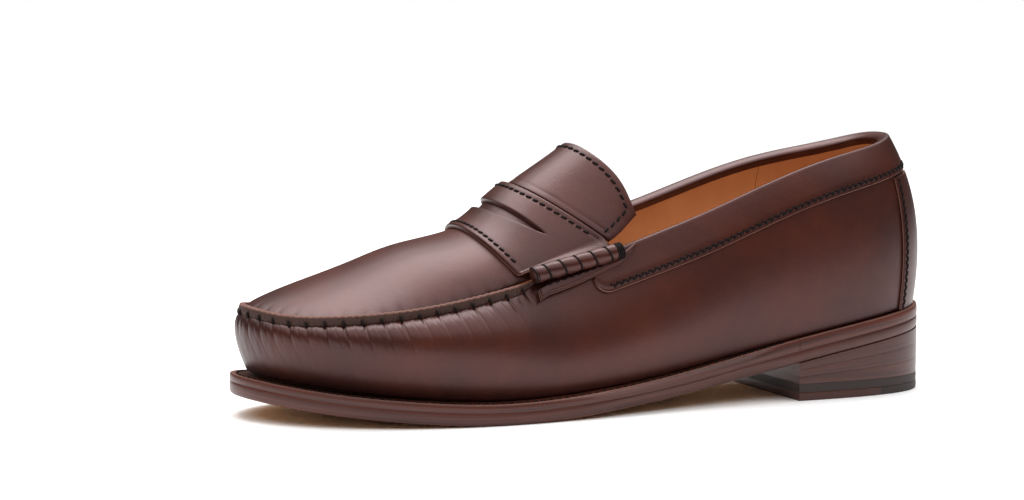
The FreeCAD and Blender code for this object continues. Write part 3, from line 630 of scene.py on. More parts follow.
def tube(points, radius, sides=8, closed=False):
    # verts and faces of a round cord along points
    points = np.asarray(points, float)
    if closed:
        tangent = unit(np.roll(points, -1, axis=0) - np.roll(points, 1, axis=0))
    else:
        tangent = unit(np.gradient(points, axis=0))
    middle = points.mean(axis=0)
    guide = points - middle if closed else np.tile([0.13, 0.27, 0.95], (len(points), 1))
    side = unit(np.cross(tangent, guide))
    other = np.cross(side, tangent)
    angle = np.arange(sides) * 2 * np.pi / sides
    girth = np.broadcast_to(radius, (len(points),))[:, None, None]
    verts = points[:, None, :] + girth * (side[:, None, :] * np.cos(angle)[:, None] + other[:, None,
                                                        :] * np.sin(angle)[:, None])
    faces = gridFaces(len(points), sides, 0, closed, True).tolist()
    if not closed:
        faces.append(tuple(range(sides)))
        faces.append(tuple(range((len(points) - 1) * sides, len(points) * sides)))
    return verts.reshape(-1, 3), faces


def joinParts(parts):
    verts, faces, start = [], [], 0
    for points, polygons in parts:
        verts.append(points)
        faces += [tuple(int(k) + start for k in f) for f in polygons]
        start += len(points)
    return np.vstack(verts), faces


# sole: flat layers bent to the last
halfRing = 260
ringPlaces = np.arange(2 * halfRing) / (2 * halfRing)
ladderColumns = 10


def cutAcross(thing, x, keepFront):
    # trims a sole layer square across at x and closes the cut; keepFront keeps the toe's side
    trimmed = bmesh.new()
    trimmed.from_mesh(thing.data)
    everything = trimmed.verts[:] + trimmed.edges[:] + trimmed.faces[:]
    bmesh.ops.bisect_plane(trimmed, geom=everything, plane_co=((x - length / 2) * 0.001, 0, 0),
                           plane_no=(1, 0, 0),
                           clear_inner=keepFront, clear_outer=not keepFront)
    rim = [edge for edge in trimmed.edges if edge.is_boundary]
    bmesh.ops.holes_fill(trimmed, edges=rim)
    bmesh.ops.recalc_face_normals(trimmed, faces=trimmed.faces)
    trimmed.to_mesh(thing.data)
    trimmed.free()
    thing.data.set_sharp_from_angle(angle=np.radians(38))


def soleRings(inset, lower, upper, profile):
    # one ring for each (share of the thickness, extra inset) of the edge's profile
    rings = []
    xy, n = outline(ringPlaces), outward(ringPlaces)
    for share, extra in profile:
        more = extra(xy[:, 0]) if callable(extra) else extra
        flat = xy - n * (inset(xy[:, 0]) + more)[:, None]
        z = lower(flat[:, 0]) + share * (upper(flat[:, 0]) - lower(flat[:, 0]))
        rings.append(np.column_stack([flat, z]))
    return np.array(rings)


def ladder(ring, height, start):
    # fills a ring across the shoe, from each outer point to the inner one opposite
    rows = []
    share = np.linspace(0, 1, ladderColumns + 1)[:, None]
    for i in range(1, halfRing):
        row = ring[i] * (1 - share) + ring[2 * halfRing - i] * share
        row[1:-1, 2] = height(row[1:-1, 0])
        rows.append(row)
    points = np.vstack([np.array(rows).reshape(-1, 3), ring[:1], ring[halfRing:halfRing + 1]])
    faces = gridFaces(halfRing - 1, ladderColumns + 1, start).tolist()
    back, toe = start + len(points) - 2, start + len(points) - 1
    lastRow = start + (halfRing - 2) * (ladderColumns + 1)
    for k in range(ladderColumns):
        faces.append((start + k, start + k + 1, back))
        faces.append((lastRow + k + 1, lastRow + k, toe))
    return points, faces


def solePlate(name, inset, lower, upper, profile, materials, slotName, layer=0.0, nodes=None, cuts=()):
    insetAt = inset if callable(inset) else lambda x: np.full(np.shape(x), float(inset))
    rings = soleRings(insetAt, lower, upper, profile)
    points = [rings.reshape(-1, 3)]
    faces = gridFaces(len(rings), 2 * halfRing, 0, closedColumns=True).tolist()
    pick = [0] * len(faces)
    for ring, height, index in ((rings[0], lower, 1), (rings[-1], upper, 2)):
        more, polygons = ladder(ring, height, sum(len(p) for p in points))
        points.append(more)
        faces += polygons
        pick += [min(index, len(materials) - 1)] * len(polygons)
    points = np.vstack(points)
    thing = saveMesh(name, points, faces, materials, slotName, nodes or (name.replace("_shape", ""),),
                     attributes={"layer": points[:, 2] - lower(points[:, 0]) + layer}, faceMaterial=pick)
    for x, keepFront in cuts:
        cutAcross(thing, x, keepFront)
    return thing


edgeProfile = {"bulge": 0.12, "waistBevel": 2.2, "tread": 0.05}


def outsoleTop(x):
    return bottom(x) + last["outsole"]


def waistBevel(x):
    return edgeProfile["waistBevel"] * ease(x, 74, 100) * (1 - ease(x, 140, 172))


def pressed(corner, bulge=edgeProfile["bulge"]):
    # a layer's edge: rounded corners and a slightly full middle
    return [(0.0, corner), (0.05, corner * 0.45), (0.14, corner * 0.1), (0.3, 0.0), (0.5, -bulge), (0.7, 0.0),
            (0.86, corner * 0.1), (0.95, corner * 0.45), (1.0, corner)]


outsoleProfile = [
    (share, lambda x, e=extra, s=share: e + waistBevel(x) * (1 - s) ** 1.5)
    for share, extra in ((0.0, 0.9), (0.04, 0.5), (0.12, 0.2), (0.28, 0.02), (0.5, -0.1), (0.75, -0.05),
                         (0.94, 0.05), (1.0, 0.2))]
solePlate("outsole_shape", 0.0, bottom, outsoleTop, outsoleProfile, [inkedEdge, bendTread, inkedEdge],
          "sole_leather",
          nodes=("outsole",))

heelLayers = {"corner": 0.03, "lifts": 3}
rubberTop = last["topPiece"] + last["rubberLayer"]
breast = last["breast"]


def flat(height):
    return lambda x: np.full(np.shape(x), float(height))


rubberProfile = pressed(0.15, 0.03)
solePlate("top_piece_rubber_shape", 0.0, flat(edgeProfile["tread"]), flat(last["topPiece"]), rubberProfile,
          [heelRubber], "rubber", nodes=("top_piece_rubber",), cuts=[(last["topSplit"] - 0.05, False)])
solePlate("top_piece_leather_shape", 0.0, flat(edgeProfile["tread"]), flat(last["topPiece"]), rubberProfile,
          [stackEdge, bendTread, stackEdge], "heel_leather", 2.0, ("top_piece_leather",),
          [(last["topSplit"], True), (breast, False)])
solePlate("heel_rubber_layer_shape", 0.0, flat(last["topPiece"] + last["glue"]), flat(rubberTop),
          pressed(0.07, 0.03), [heelRubber], "rubber", nodes=("heel_rubber_layer",), cuts=[(breast, False)])
liftFoot = rubberTop + last["glue"]
for k in range(heelLayers["lifts"]):
    solePlate(
        "heel_lift_%d_shape" % (k + 1), 0.0,
        lambda x, k=k: liftFoot + (bottom(x) - liftFoot) * k / heelLayers["lifts"],
        lambda x, k=k: rubberTop + (bottom(x) - rubberTop) * (k + 1) / heelLayers["lifts"] - last["glue"],
        pressed(heelLayers["corner"], 0.03), [stackEdge], "heel_leather", 9.0 + 5.0 * k,
        ("heel_lift_%d" % (k + 1),),
        [(breast, False)])
print("sole and heel layers made")


# nails in the top piece
nails = {"count": 7, "middle": (34.0, 1.2), "ring": 24.0, "firstAngle": -96.0, "step": 32.0, "radius": 0.9,
         "long": 16.0}


def nailCords():
    parts = []
    heights = np.array([0.0, 0.02, 0.5, 3.0, nails["long"] - 1.5, nails["long"]])
    girths = nails["radius"] * np.array([0.9, 1.0, 1.0, 0.95, 0.8, 0.3])
    for i in range(nails["count"]):
        angle = np.radians(nails["firstAngle"] + nails["step"] * i)
        x = nails["middle"][0] - nails["ring"] * np.cos(angle)
        y = nails["middle"][1] + nails["ring"] * np.sin(angle)
        parts.append(tube(np.column_stack([np.full(6, x), np.full(6, y), heights]), girths, 14))
    return joinParts(parts)


saveMesh("heel_nail_set", *nailCords(), [nailBrass], "brass", ("heel_nails",))


# welt and rand, wheeled on top
welt = {"bead": 1.1, "wheelPitch": 1.9, "wheelDepth": 0.34, "stitchPitch": 3.4, "stitchIn": 2.9,
        "threadRadius": 0.38}
weltRim = cutLeatherEdge("wheeled_welt_top", "#9c6f60", "#54332a")
ringRun = runLength(outline(np.append(ringPlaces, 1.0)))


def weltBand(name, node, cuts, depth):
    # a flat strip round the sole; its top edge carries the wheel's teeth
    count = 1400
    ts = np.arange(count) / count
    xy, n = outline(ts), outward(ts)
    run = np.interp(ts, np.append(ringPlaces, 1.0), ringRun)
    tooth = (0.5 - 0.5 * np.cos(2 * np.pi * run / welt["wheelPitch"])) ** 0.6
    inner = featherInset(xy[:, 0]) + last["weltLand"]
    section = [(0.05, 0.0, 0), (0.0, 0.15, 0), (-0.05, 0.5, 0), (0.05, 0.8, 0), (0.3, 0.96, 0.3),
               (0.75, 1.0, 1),
               (1.4, 1.0, 1), (1.9, 1.0, 0.5), (2.2, 0.97, 0), (2.9, 0.93, 0), (3.6, 0.97, 0)]
    bead = welt["bead"] * ease(xy[:, 0], 77, 96) * (1 - ease(xy[:, 0], 150, 190))
    rings = []
    for inset, share, wheel in section:
        flatXy = xy - n * (inset - bead * np.sin(np.pi * min(share, 0.97)))[:, None]
        low, high = outsoleTop(flatXy[:, 0]) + last["glue"], seat(flatXy[:, 0])
        z = low + share * (high - low) - depth * wheel * (1 - tooth)
        rings.append(np.column_stack([flatXy, z]))
    for share in (1.0, 0.0):
        flatXy = xy - n * inner[:, None]
        low, high = outsoleTop(flatXy[:, 0]) + last["glue"], seat(flatXy[:, 0])
        rings.append(np.column_stack([flatXy, low + share * (high - low)]))
    points = np.array(rings)
    faces = gridFaces(len(points), count, 0, True, True)
    pick = np.repeat([0, 0, 0, 0, 1, 1, 1, 1, 0, 0, 0, 0, 0], count)
    flatPoints = points.reshape(-1, 3)
    thing = saveMesh(name, flatPoints, faces, [inkedEdge, weltRim], "sole_leather", (node,),
                     attributes={"layer": flatPoints[:, 2] - bottom(flatPoints[:, 0])}, faceMaterial=pick)
    for x, keepFront in cuts:
        cutAcross(thing, x, keepFront)


weltBand("welt_strip", "welt", [(breast + 0.1, True)], welt["wheelDepth"])
weltBand("heel_rand_strip", "heel_rand", [(breast - 0.1, False)], welt["wheelDepth"] * 0.6)


def weltStitches():
    ts = np.linspace(0.14, 0.86, 1600)
    xy = outline(ts) - outward(ts) * welt["stitchIn"]
    points = np.column_stack([xy, seat(xy[:, 0]) - 0.2])
    normals = np.tile([0.0, 0.0, 1.0], (len(points), 1))
    stitches("welt_lockstitch", points, normals, welt["stitchPitch"], 0.8, welt["threadRadius"],
             "sole_leather", lift=0.5)


weltStitches()


# inside: sock and linings
inside = {"sockIn": 4.8}


def boardTop(x):
    return seat(x) + last["glue"] + last["insole"]


def padTop(x):
    return boardTop(x) + last["glue"] + 0.1 + last["heelPad"] * (1 - ease(x, 66, 88))


solePlate("sock_liner_shape", lambda x: featherInset(x) + inside["sockIn"],
          lambda x: padTop(x) + last["glue"],
          lambda x: padTop(x) + last["glue"] + last["sock"], pressed(0.2, 0.0), [liningLeather], "lining",
          nodes=("sock_liner",))

stiffIn = last["leather"] + last["layerGap"] + last["stiffener"]
liningLow = -(stiffIn + last["layerGap"] + last["lining"])
liningRanges = {
    "heel_grip": (-0.1108, 0.1108), "quarter_lining_lateral": (0.1112, 0.2628),
    "vamp_lining": (0.2632, 0.7368), "quarter_lining_medial": (0.7372, 0.8888),
}
for name, (first, end) in liningRanges.items():
    ts = np.linspace(first, end, max(60, int((end - first) * 500)))[:, None]
    vs = np.linspace(0, 1, 40)[None, :]
    leatherSheet(name + "_sheet", wallPoints(ts, vs), wallNormals(ts, vs), last["lining"], 0.5, liningLow,
                 "lining",
                 (name,), material=liningLeather, edge=liningLeather)
print("linings made")


# moccasin seam: the standing lip and the wall gathered under it
seam = {
    "pitch": 7.2, "puff": 0.26, "crease": 0.75, "reach": 6.5, "creaseReach": 10.0, "toeReach": 12.0,
        "wrinkle": 0.1, "lipPinch": 0.45,
    "apronPucker": 0.35, "apronReach": 3.0, "threadRadius": 0.55, "slant": 0.35,
}
lipFrom, lipTo = station(186, 1), station(186, -1)
lipPlaces = np.linspace(lipFrom, lipTo, 1500)
lipEdge = topEdge(lipPlaces)
lipRun = runLength(lipEdge)
seamCount = round(lipRun[-1] / seam["pitch"])
rng = np.random.default_rng(31)
stitchStrength = 0.75 + 0.5 * rng.random(seamCount + 2)
stitchShift = 0.12 * (rng.random(seamCount + 2) - 0.5)


def gather(run):
    # 1 at each stitch hole of the moccasin seam, 0 half-way between two
    place = run / lipRun[-1] * seamCount
    place = place + np.interp(place, np.arange(seamCount + 2), stitchShift)
    strength = np.interp(place, np.arange(seamCount + 2), stitchStrength)
    return 0.5 + 0.5 * np.cos(2 * np.pi * place), strength


def wallRelief(ts, below):
    x = topPlan(ts)[:, 0]
    t = ts % 1.0
    run = np.interp(t, lipPlaces, lipRun)
    near = ease(t, lipFrom, lipFrom + 0.012) * (1 - ease(t, lipTo - 0.012, lipTo))
    toe = ease(x, 225, 285)
    reach = (seam["reach"] + (seam["toeReach"] - seam["reach"]) * toe)[:, None]
    shifted, strength = gather(run[:, None] + seam["slant"] * below)
    fade = np.exp(-(below / reach) ** 1.3) * near[:, None]
    long = np.exp(-(below / seam["creaseReach"]) ** 1.6) * near[:, None]
    folds = seam["puff"] * (0.6 - shifted) * strength * fade
    folds = folds - seam["crease"] * shifted ** 18 * (strength - 0.35) * long * (1 - 0.3 * toe[:, None])
    half, _ = gather(run[:, None] + seam["pitch"] * 0.45 + seam["slant"] * 1.4 * below)
    folds = folds - 0.3 * seam["crease"] * half ** 24 * (strength - 0.35) * long
    fine = seam["wrinkle"] * near[:, None] * np.cos(4 * np.pi * run / seam["pitch"])[:,
                                                        None] * np.exp(-below / 9.0)
    return folds + fine


def wallBurnishAndShade(ts, below, height):
    x = topPlan(ts)[:, 0][:, None]
    # painted shade: darker along the welt at the wall's foot and under the overhanging seam lip
    foot = 0.5 * np.exp(-(height - below) / 5.0)
    head = 0.35 * np.exp(-below / 4.0) * ease(x, 180, 200)
    # burnish: darker at the toe and the heel
    ends = 0.28 * ease(x, 215, 285) + 0.22 * (1 - ease(x, 20, 75))
    return foot + head + ends


def upperWall():
    rear = np.linspace(lipTo, lipFrom + 1, 400, endpoint=False)
    ts = np.concatenate([np.linspace(lipFrom, lipTo, 1400, endpoint=False), rear])
    vs = edgedSpread(0, 1, 60, 0.012, 0.014)
    base = wallPoints(ts[:, None], vs[None, :])
    normals = wallNormals(ts[:, None], vs[None, :])
    run = np.concatenate([np.zeros((len(ts), 1)),
                          np.cumsum(np.linalg.norm(np.diff(base, axis=1), axis=-1), axis=1)], axis=1)
    below = run[:, -1:] - run
    relief = wallRelief(ts, below)
    leatherSheet("moccasin_wall_sheet", base, normals, last["leather"], 0.7, -last["leather"], "upper",
                 ("moccasin_wall",), relief=relief, closed=True, burnish_and_shade=wallBurnishAndShade(ts, below, run[:, -1:]))


upperWall()


def seamLip():
    ts = lipPlaces
    edge, n = topEdge(ts), outward(ts)
    out = np.column_stack([n, np.zeros(len(n))])
    tall = ease(edge[:, 0], 182, 197)
    notch, strength = gather(lipRun)
    notch = notch ** 3
    rough = 0.1 * np.sin(lipRun * 2.3) + 0.07 * np.sin(lipRun * 5.1 + 1)
    drop = last["lipDrop"] + 0.3
    section = [
        (0.25, -drop, 0, 0), (2.3, -drop, 1, 0), (2.6, -drop + 0.7, 1, 0), (2.6, -2.2, 0.7, 0),
               (2.45, -1.3, 0.4, 0),
        (2.25, -0.6, 0.2, 0.6), (2.05, -0.15, 0.1, 1), (1.7, 0.02, 0, 1), (1.3, -0.02, 0, 1),
               (1.12, -0.32, 0, 1),
        (0.95, -0.02, 0, 1), (0.55, 0.02, 0, 1), (0.2, -0.2, 0, 1), (0.05, -0.8, 0, 0.5), (0.1, -2.4, 0, 0)]
    rings = []
    for offset, height, pinch, ragged in section:
        stand = offset - seam["lipPinch"] * notch * strength * pinch + 0.12 * pinch * np.sin(lipRun * 3.7)
        z = (height + ragged * rough) * tall
        rings.append(edge + out * (stand * tall + 0.3 * (1 - tall))[:, None] + np.array([0, 0, 1.0]) * z[:,
                                                        None])
    points = np.array(rings).transpose(1, 0, 2)
    rows, columns = points.shape[:2]
    faces = gridFaces(rows, columns, 0, False, True).tolist()
    faces.append(tuple(range(columns)))
    faces.append(tuple(range((rows - 1) * columns, rows * columns)))
    pick = [1 if 5 <= k < 12 else 0 for k in range(columns)] * (rows - 1) + [0, 0]
    shade = np.zeros((rows, columns))
    saveMesh("moccasin_seam_lip", points.reshape(-1, 3), faces, [rawSeamEdge, calfEdge], "upper",
             ("seam_lip",),
             attributes={"burnish_and_shade": shade.ravel()}, faceMaterial=pick)


seamLip()


def seamThreads():
    # one waxed thread out of each hole: down the lip's face into the gathered wall, and over to the apron
    parts = []
    for k in range(1, seamCount):
        place = float(np.interp(k / seamCount * lipRun[-1], lipRun, lipPlaces))
        edge, n = topEdge(place), outward(place)
        if edge[0] < 193:
            continue
        out = np.array([n[0], n[1], 0.0])
        along = np.array([-n[1], n[0], 0.0])
        path = [(1.2, -2.2), (2.3, -2.3), (2.7, -2.8), (2.75, -3.5), (2.5, -4.2), (1.6, -4.7)]
        spine = [edge + out * a + along * (0.25 * i - 0.6) + np.array([0, 0, b]) for i,
                 (a, b) in enumerate(path)]
        fine = splineThrough(range(len(spine)), spine)(np.linspace(0, len(spine) - 1, 13))
        parts.append(tube(fine, seam["threadRadius"], 8))
        inner = [(0.9, -1.5), (0.1, -1.35), (-0.35, -1.3), (-1.0, -1.15), (-1.7, -1.6)]
        spine = [edge + out * a + np.array([0, 0, b]) for a, b in inner]
        fine = splineThrough(range(len(spine)), spine)(np.linspace(0, len(spine) - 1, 11))
        parts.append(tube(fine, seam["threadRadius"] * 0.9, 8))
    saveMesh("moccasin_seam_thread", *joinParts(parts), [waxThread], "upper")


seamThreads()
print("moccasin seam made")


# apron and tongue
tongueShape = {"stitchIn": 3.0, "stitchPitch": 3.6, "threadRadius": 0.52, "side": 0.985, "slant": 0.3}


def nearestRun(points, path, run):
    # how far each point is from a path and where along it
    flatPoints = points.reshape(-1, 3)
    distance, where = np.empty(len(flatPoints)), np.empty(len(flatPoints))
    for start in range(0, len(flatPoints), 2000):
        block = flatPoints[start:start + 2000]
        gaps = np.linalg.norm(block[:, None, :] - path[None, :, :], axis=-1)
        nearest = gaps.argmin(axis=1)
        distance[start:start + 2000] = gaps[np.arange(len(block)), nearest]
        where[start:start + 2000] = run[nearest]
    return distance.reshape(points.shape[:2]), where.reshape(points.shape[:2])


def apronSheet():
    vs = 0.9995 * np.sin(np.linspace(-1, 1, 171) * np.pi / 2)[None, :]
    share = edgedSpread(0, 1, 200, 0.004, 0.004)[:, None]
    us = share * (tongueRoot(vs) + 0.02)
    base, normals = instepPoints(us, vs), instepNormals(us, vs)
    distance, run = nearestRun(base, lipEdge, lipRun)
    notch, strength = gather(run)
    near = np.exp(-(distance / seam["apronReach"]) ** 1.5)
    relief = -seam["apronPucker"] * near * notch ** 3 * strength
    # darker near the moccasin seam: painted shade in its puckers; darker towards the toe: burnish
    burnish_and_shade = 0.35 * np.exp(-distance / 3.5) + 0.12 * ease(base[..., 0], 250, 292)
    leatherSheet("apron_sheet", base, normals, last["leather"], 0.6, -last["leather"], "upper", ("apron",),
                 relief=relief, burnish_and_shade=burnish_and_shade)


apronSheet()


def tongueEnd(v):
    return tongueTop - 0.75 * np.abs(v) ** 9


def insetOnInstep(us, vs, distance, side):
    # moves a line on the instep sideways along the leather
    e = 1e-3
    points, normals = instepPoints(us, vs), instepNormals(us, vs)
    way = np.cross(normals, unit(np.gradient(points, axis=0))) * side * distance
    pu = (instepPoints(us + e, vs) - instepPoints(us - e, vs)) / (2 * e)
    pv = (instepPoints(us, vs + e) - instepPoints(us, vs - e)) / (2 * e)
    a, b, c = (pu * pu).sum(-1), (pu * pv).sum(-1), (pv * pv).sum(-1)
    p, q = (pu * way).sum(-1), (pv * way).sum(-1)
    whole = a * c - b * b
    return us + (p * c - q * b) / whole, vs + (q * a - p * b) / whole


hingeStart = crestLine(np.array(strapRear + 0.02)) + heelPlace
hingeEnd = crestLine(np.array(strapRear + 0.45)) + heelPlace


def bendTongue(thing):
    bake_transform(thing)


def tongueSheets():
    side = tongueShape["side"]
    vs = edgedSpread(-side, side, 110, 0.03, 0.03)[None, :]
    share = edgedSpread(0, 1, 90, 0.02, 0.03)[:, None]
    start = tongueRoot(vs) + 0.07
    us = start + (tongueEnd(vs) - start) * share
    base, normals = instepPoints(us, vs), instepNormals(us, vs)
    fade, distance = edgeFade(base, 0.8)
    burnish_and_shade = 0.25 * np.exp(-distance / 4.0)
    seamLine = -0.12 * np.exp(-((distance - tongueShape["stitchIn"]) / 0.8) ** 2) * (share > 0.06)
    bendTongue(leatherSheet("tongue_sheet", base, normals, last["leather"], 0.8, -last["leather"], "upper",
                            ("tongue",),
                            relief=seamLine, burnish_and_shade=burnish_and_shade, carry=False))
    vs = np.linspace(-0.95, 0.95, 60)[None, :]
    us = start.mean() + (tongueEnd(vs) - start.mean() - 0.02) * np.linspace(0, 1, 60)[:, None]
    bendTongue(leatherSheet("tongue_lining_sheet", instepPoints(us, vs), instepNormals(us, vs), 0.9, 0.4,
                            -2.6, "lining",
                            ("tongue_lining",), material=liningLeather, edge=liningLeather, carry=False))
    share = np.linspace(0.07, 1, 90)[:, None]
    us = share * (tongueRoot(vs) + 0.02)
    leatherSheet("apron_lining_sheet", instepPoints(us, vs), instepNormals(us, vs), 0.9, 0.4, -2.6, "lining",
                 ("apron_lining",), material=liningLeather, edge=liningLeather)


tongueSheets()


def tongueStitches():
    side = 0.975
    up = np.linspace(0, 1, 120)
    root = tongueRoot(side) + 0.1
    corner = 8.2
    first = np.column_stack([root + (corner - root) * up, np.full(120, side)])
    across = np.linspace(side, -side, 260)
    top = np.column_stack([np.maximum(tongueEnd(across), corner), across])
    line = np.vstack([first, top[1:-1], first[::-1] * [1, -1]])
    us, vs = insetOnInstep(line[:, 0], line[:, 1], tongueShape["stitchIn"], 1.0)
    for _ in range(12):
        us[1:-1] = (us[:-2] + us[1:-1] * 2 + us[2:]) / 4
        vs[1:-1] = (vs[:-2] + vs[1:-1] * 2 + vs[2:]) / 4
    bendTongue(stitches("tongue_stitches", instepPoints(us, vs) - instepNormals(us, vs) * 0.1,
                        instepNormals(us, vs),
                        tongueShape["stitchPitch"], 0.85, tongueShape["threadRadius"],
                        slant=tongueShape["slant"],
                        carry=False))


tongueStitches()
print("apron and tongue made")


# the saddle strap with its keeper slot
strap = {
    "low": 0.3, "thick": 1.9, "side": 0.965, "slotAt": 5.97, "slotBend": 0.1, "slotLong": 60.0,
         "slotWide": 4.2,
    "stitchIn": 2.8, "stitchPitch": 3.5, "threadRadius": 0.5, "edge": 0.8, "slant": 0.25,
}
roll = {
    "out": 4.8, "upFront": 2.8, "upBack": 0.8, "front": 191.0, "back": 151.0, "waist": 2.85, "radius": 3.45,
    "humps": 6, "tilt": 0.9, "threadRadius": 0.4, "rearWraps": 4, "wrapStep": 0.85,
}


def rollLine(side):
    ends = []
    for x, rise in ((roll["front"], roll["upFront"]), (roll["back"], roll["upBack"])):
        t = station(x, side)
        n = outward(t)
        ends.append(topEdge(t) + np.array([n[0] * roll["out"], n[1] * roll["out"], rise]))
    along = unit(ends[1] - ends[0])
    up = unit(np.array([0, 0, 1.0]) - along * along[2])
    out = unit(np.array([0, float(side), 0]) - along * along[1] * side)
    out = unit(out - up * (out @ up))
    return ends[0], ends[1], along, up, out


def strapGrid(us, vs, offset, raise_):
    # the strap's skin, carried past the instep's edge and down onto the roll at either side
    points = instepPoints(us, vs) + instepNormals(us, vs) * offset[..., None]
    sides = []
    for side, column in ((-1, 0), (1, -1)):
        front, back, along, up, out = rollLine(side)
        first = points[:, column]
        slope = unit(points[:, column] - points[:, column - side])
        share = ((first - front) @ along) / np.linalg.norm(back - front)
        spot = front + (back - front) * np.clip(share, 0.02, 0.98)[:, None]
        target = spot + up * (0.6 + raise_) - out * 1.2
        pull = np.linalg.norm(target - first, axis=1, keepdims=True) * 0.4
        s = np.linspace(0, 1, 9)[1:, None, None]
        a, b = first + slope * pull, target + (up * 0.8 - out * 0.6) * pull
        curve = (1 - s) ** 3 * first + 3 * s * (1 - s) ** 2 * a + 3 * s * s * (1 - s) * b + s ** 3 * target
        curve = curve.transpose(1, 0, 2)
        sides.append(curve[:, ::-1] if side < 0 else curve)
    return np.concatenate([sides[0], points, sides[1]], axis=1)


def saddleStrap():
    vs = edgedSpread(-strap["side"], strap["side"], 190, 0.01, 0.01)
    e = 1e-3
    along = instepPoints(np.full(len(vs), strap["slotAt"] + e),
                         vs) - instepPoints(np.full(len(vs), strap["slotAt"] - e), vs)
    perU = np.linalg.norm(along, axis=1) / (2 * e)
    across = instepPoints(np.full(len(vs), strap["slotAt"]), vs)
    offCentre = across[:, 1] - crestLine(np.array(strap["slotAt"]))[1]
    open_ = np.maximum(0, strap["slotWide"] / 2 * (1 - (offCentre / (strap["slotLong"] / 2)) ** 4))
    share = edgedSpread(0, 1, 34, 0.05, 0.05)[:, None]
    points, faces, pick = [], [], []
    total = len(vs) + 16
    gap = np.concatenate([np.zeros(8), open_, np.zeros(8)])
    for half in (0, 1):
        slotMiddle = strap["slotAt"] + strap["slotBend"] * np.clip(offCentre / (strap["slotLong"] / 2),
                                                        -1.5, 1.5) ** 2
        slotLine = slotMiddle + (1 if half else -1) * open_ / perU
        rim = strapRear + 0.1 * vs ** 2 if half else strapFront - 0.08 * vs ** 2
        us = slotLine + (rim - slotLine) * share if half else rim + (slotLine - rim) * share
        vGrid = np.broadcast_to(vs, us.shape)
        base = instepPoints(us, vGrid)
        run = np.concatenate([np.zeros((1, len(vs))),
                              np.cumsum(np.linalg.norm(np.diff(base, axis=0), axis=-1), axis=0)])
        toRim = run[-1:] - run if half else run
        toSlot = run if half else run[-1:] - run
        roundRim = np.sqrt(np.maximum(0, 1 - (1 - np.clip(toRim / strap["edge"], 0, 1)) ** 2))
        roundSlot = np.sqrt(np.maximum(0, 1 - (1 - np.clip(toSlot / 0.7, 0, 1)) ** 2))
        roundSlot = 1 - (1 - roundSlot) * np.clip(open_ / 0.5, 0, 1)
        groove = -0.16 * np.exp(-((toRim - strap["stitchIn"]) / 0.7) ** 2)
        top = strap["low"] + strap["thick"] * (0.4 + 0.6 * np.minimum(roundRim, roundSlot)) + groove
        outer = strapGrid(us, vGrid, top, 1.2)
        inner = strapGrid(us, vGrid, np.full(us.shape, strap["low"]), 0.0)
        start = sum(len(p) for p in points)
        rows = us.shape[0]
        count = rows * total
        points += [outer.reshape(-1, 3), inner.reshape(-1, 3)]
        skins = np.vstack([gridFaces(rows, total, start), gridFaces(rows, total, start + count)[:, ::-1]])
        faces += skins.tolist()
        pick += [0] * len(skins)
        index = start + np.arange(count).reshape(rows, total)
        rimRow, slotRow = (index[-1], index[0]) if half else (index[0], index[-1])
        borders = [(rimRow, None), (index[:, 0], None), (index[:, -1], None), (slotRow, gap)]
        for line, wanted in borders:
            for k in range(len(line) - 1):
                if wanted is not None and max(wanted[k], wanted[k + 1]) <= 0:
                    continue
                faces.append((line[k], line[k + 1], line[k + 1] + count, line[k] + count))
                pick.append(1)
        # darker near the rim; darker along the slot: painted shade in the opening
        shade = 0.3 * np.exp(-toRim / 2.5) + 0.3 * np.exp(-toSlot / 2.0) * np.clip(open_ / 0.5, 0, 1)
        padded = np.concatenate([np.repeat(shade[:, :1], 8, axis=1), shade,
                                 np.repeat(shade[:, -1:], 8, axis=1)], axis=1)
        shades = [padded.ravel(), padded.ravel()] if not half else shades + [padded.ravel(), padded.ravel()]
    saveMesh("saddle_strap_leather", np.vstack(points), faces, [upperCalf, calfEdge], "upper",
             ("saddle_strap",),
             attributes={"burnish_and_shade": np.concatenate(shades)}, faceMaterial=pick)
    line = np.linspace(-0.93, 0.93, 500)
    for label, rim, side in (("front", strapFront - 0.08 * line ** 2, 1.0),
                             ("rear", strapRear + 0.1 * line ** 2, -1.0)):
        us, vn = insetOnInstep(rim, line, strap["stitchIn"], side)
        normals = instepNormals(us, vn)
        stitches("strap_stitches_" + label,
                 instepPoints(us, vn) + normals * (strap["low"] + strap["thick"] - 0.15), normals,
                 strap["stitchPitch"], 0.85, strap["threadRadius"], slant=strap["slant"])


saddleStrap()


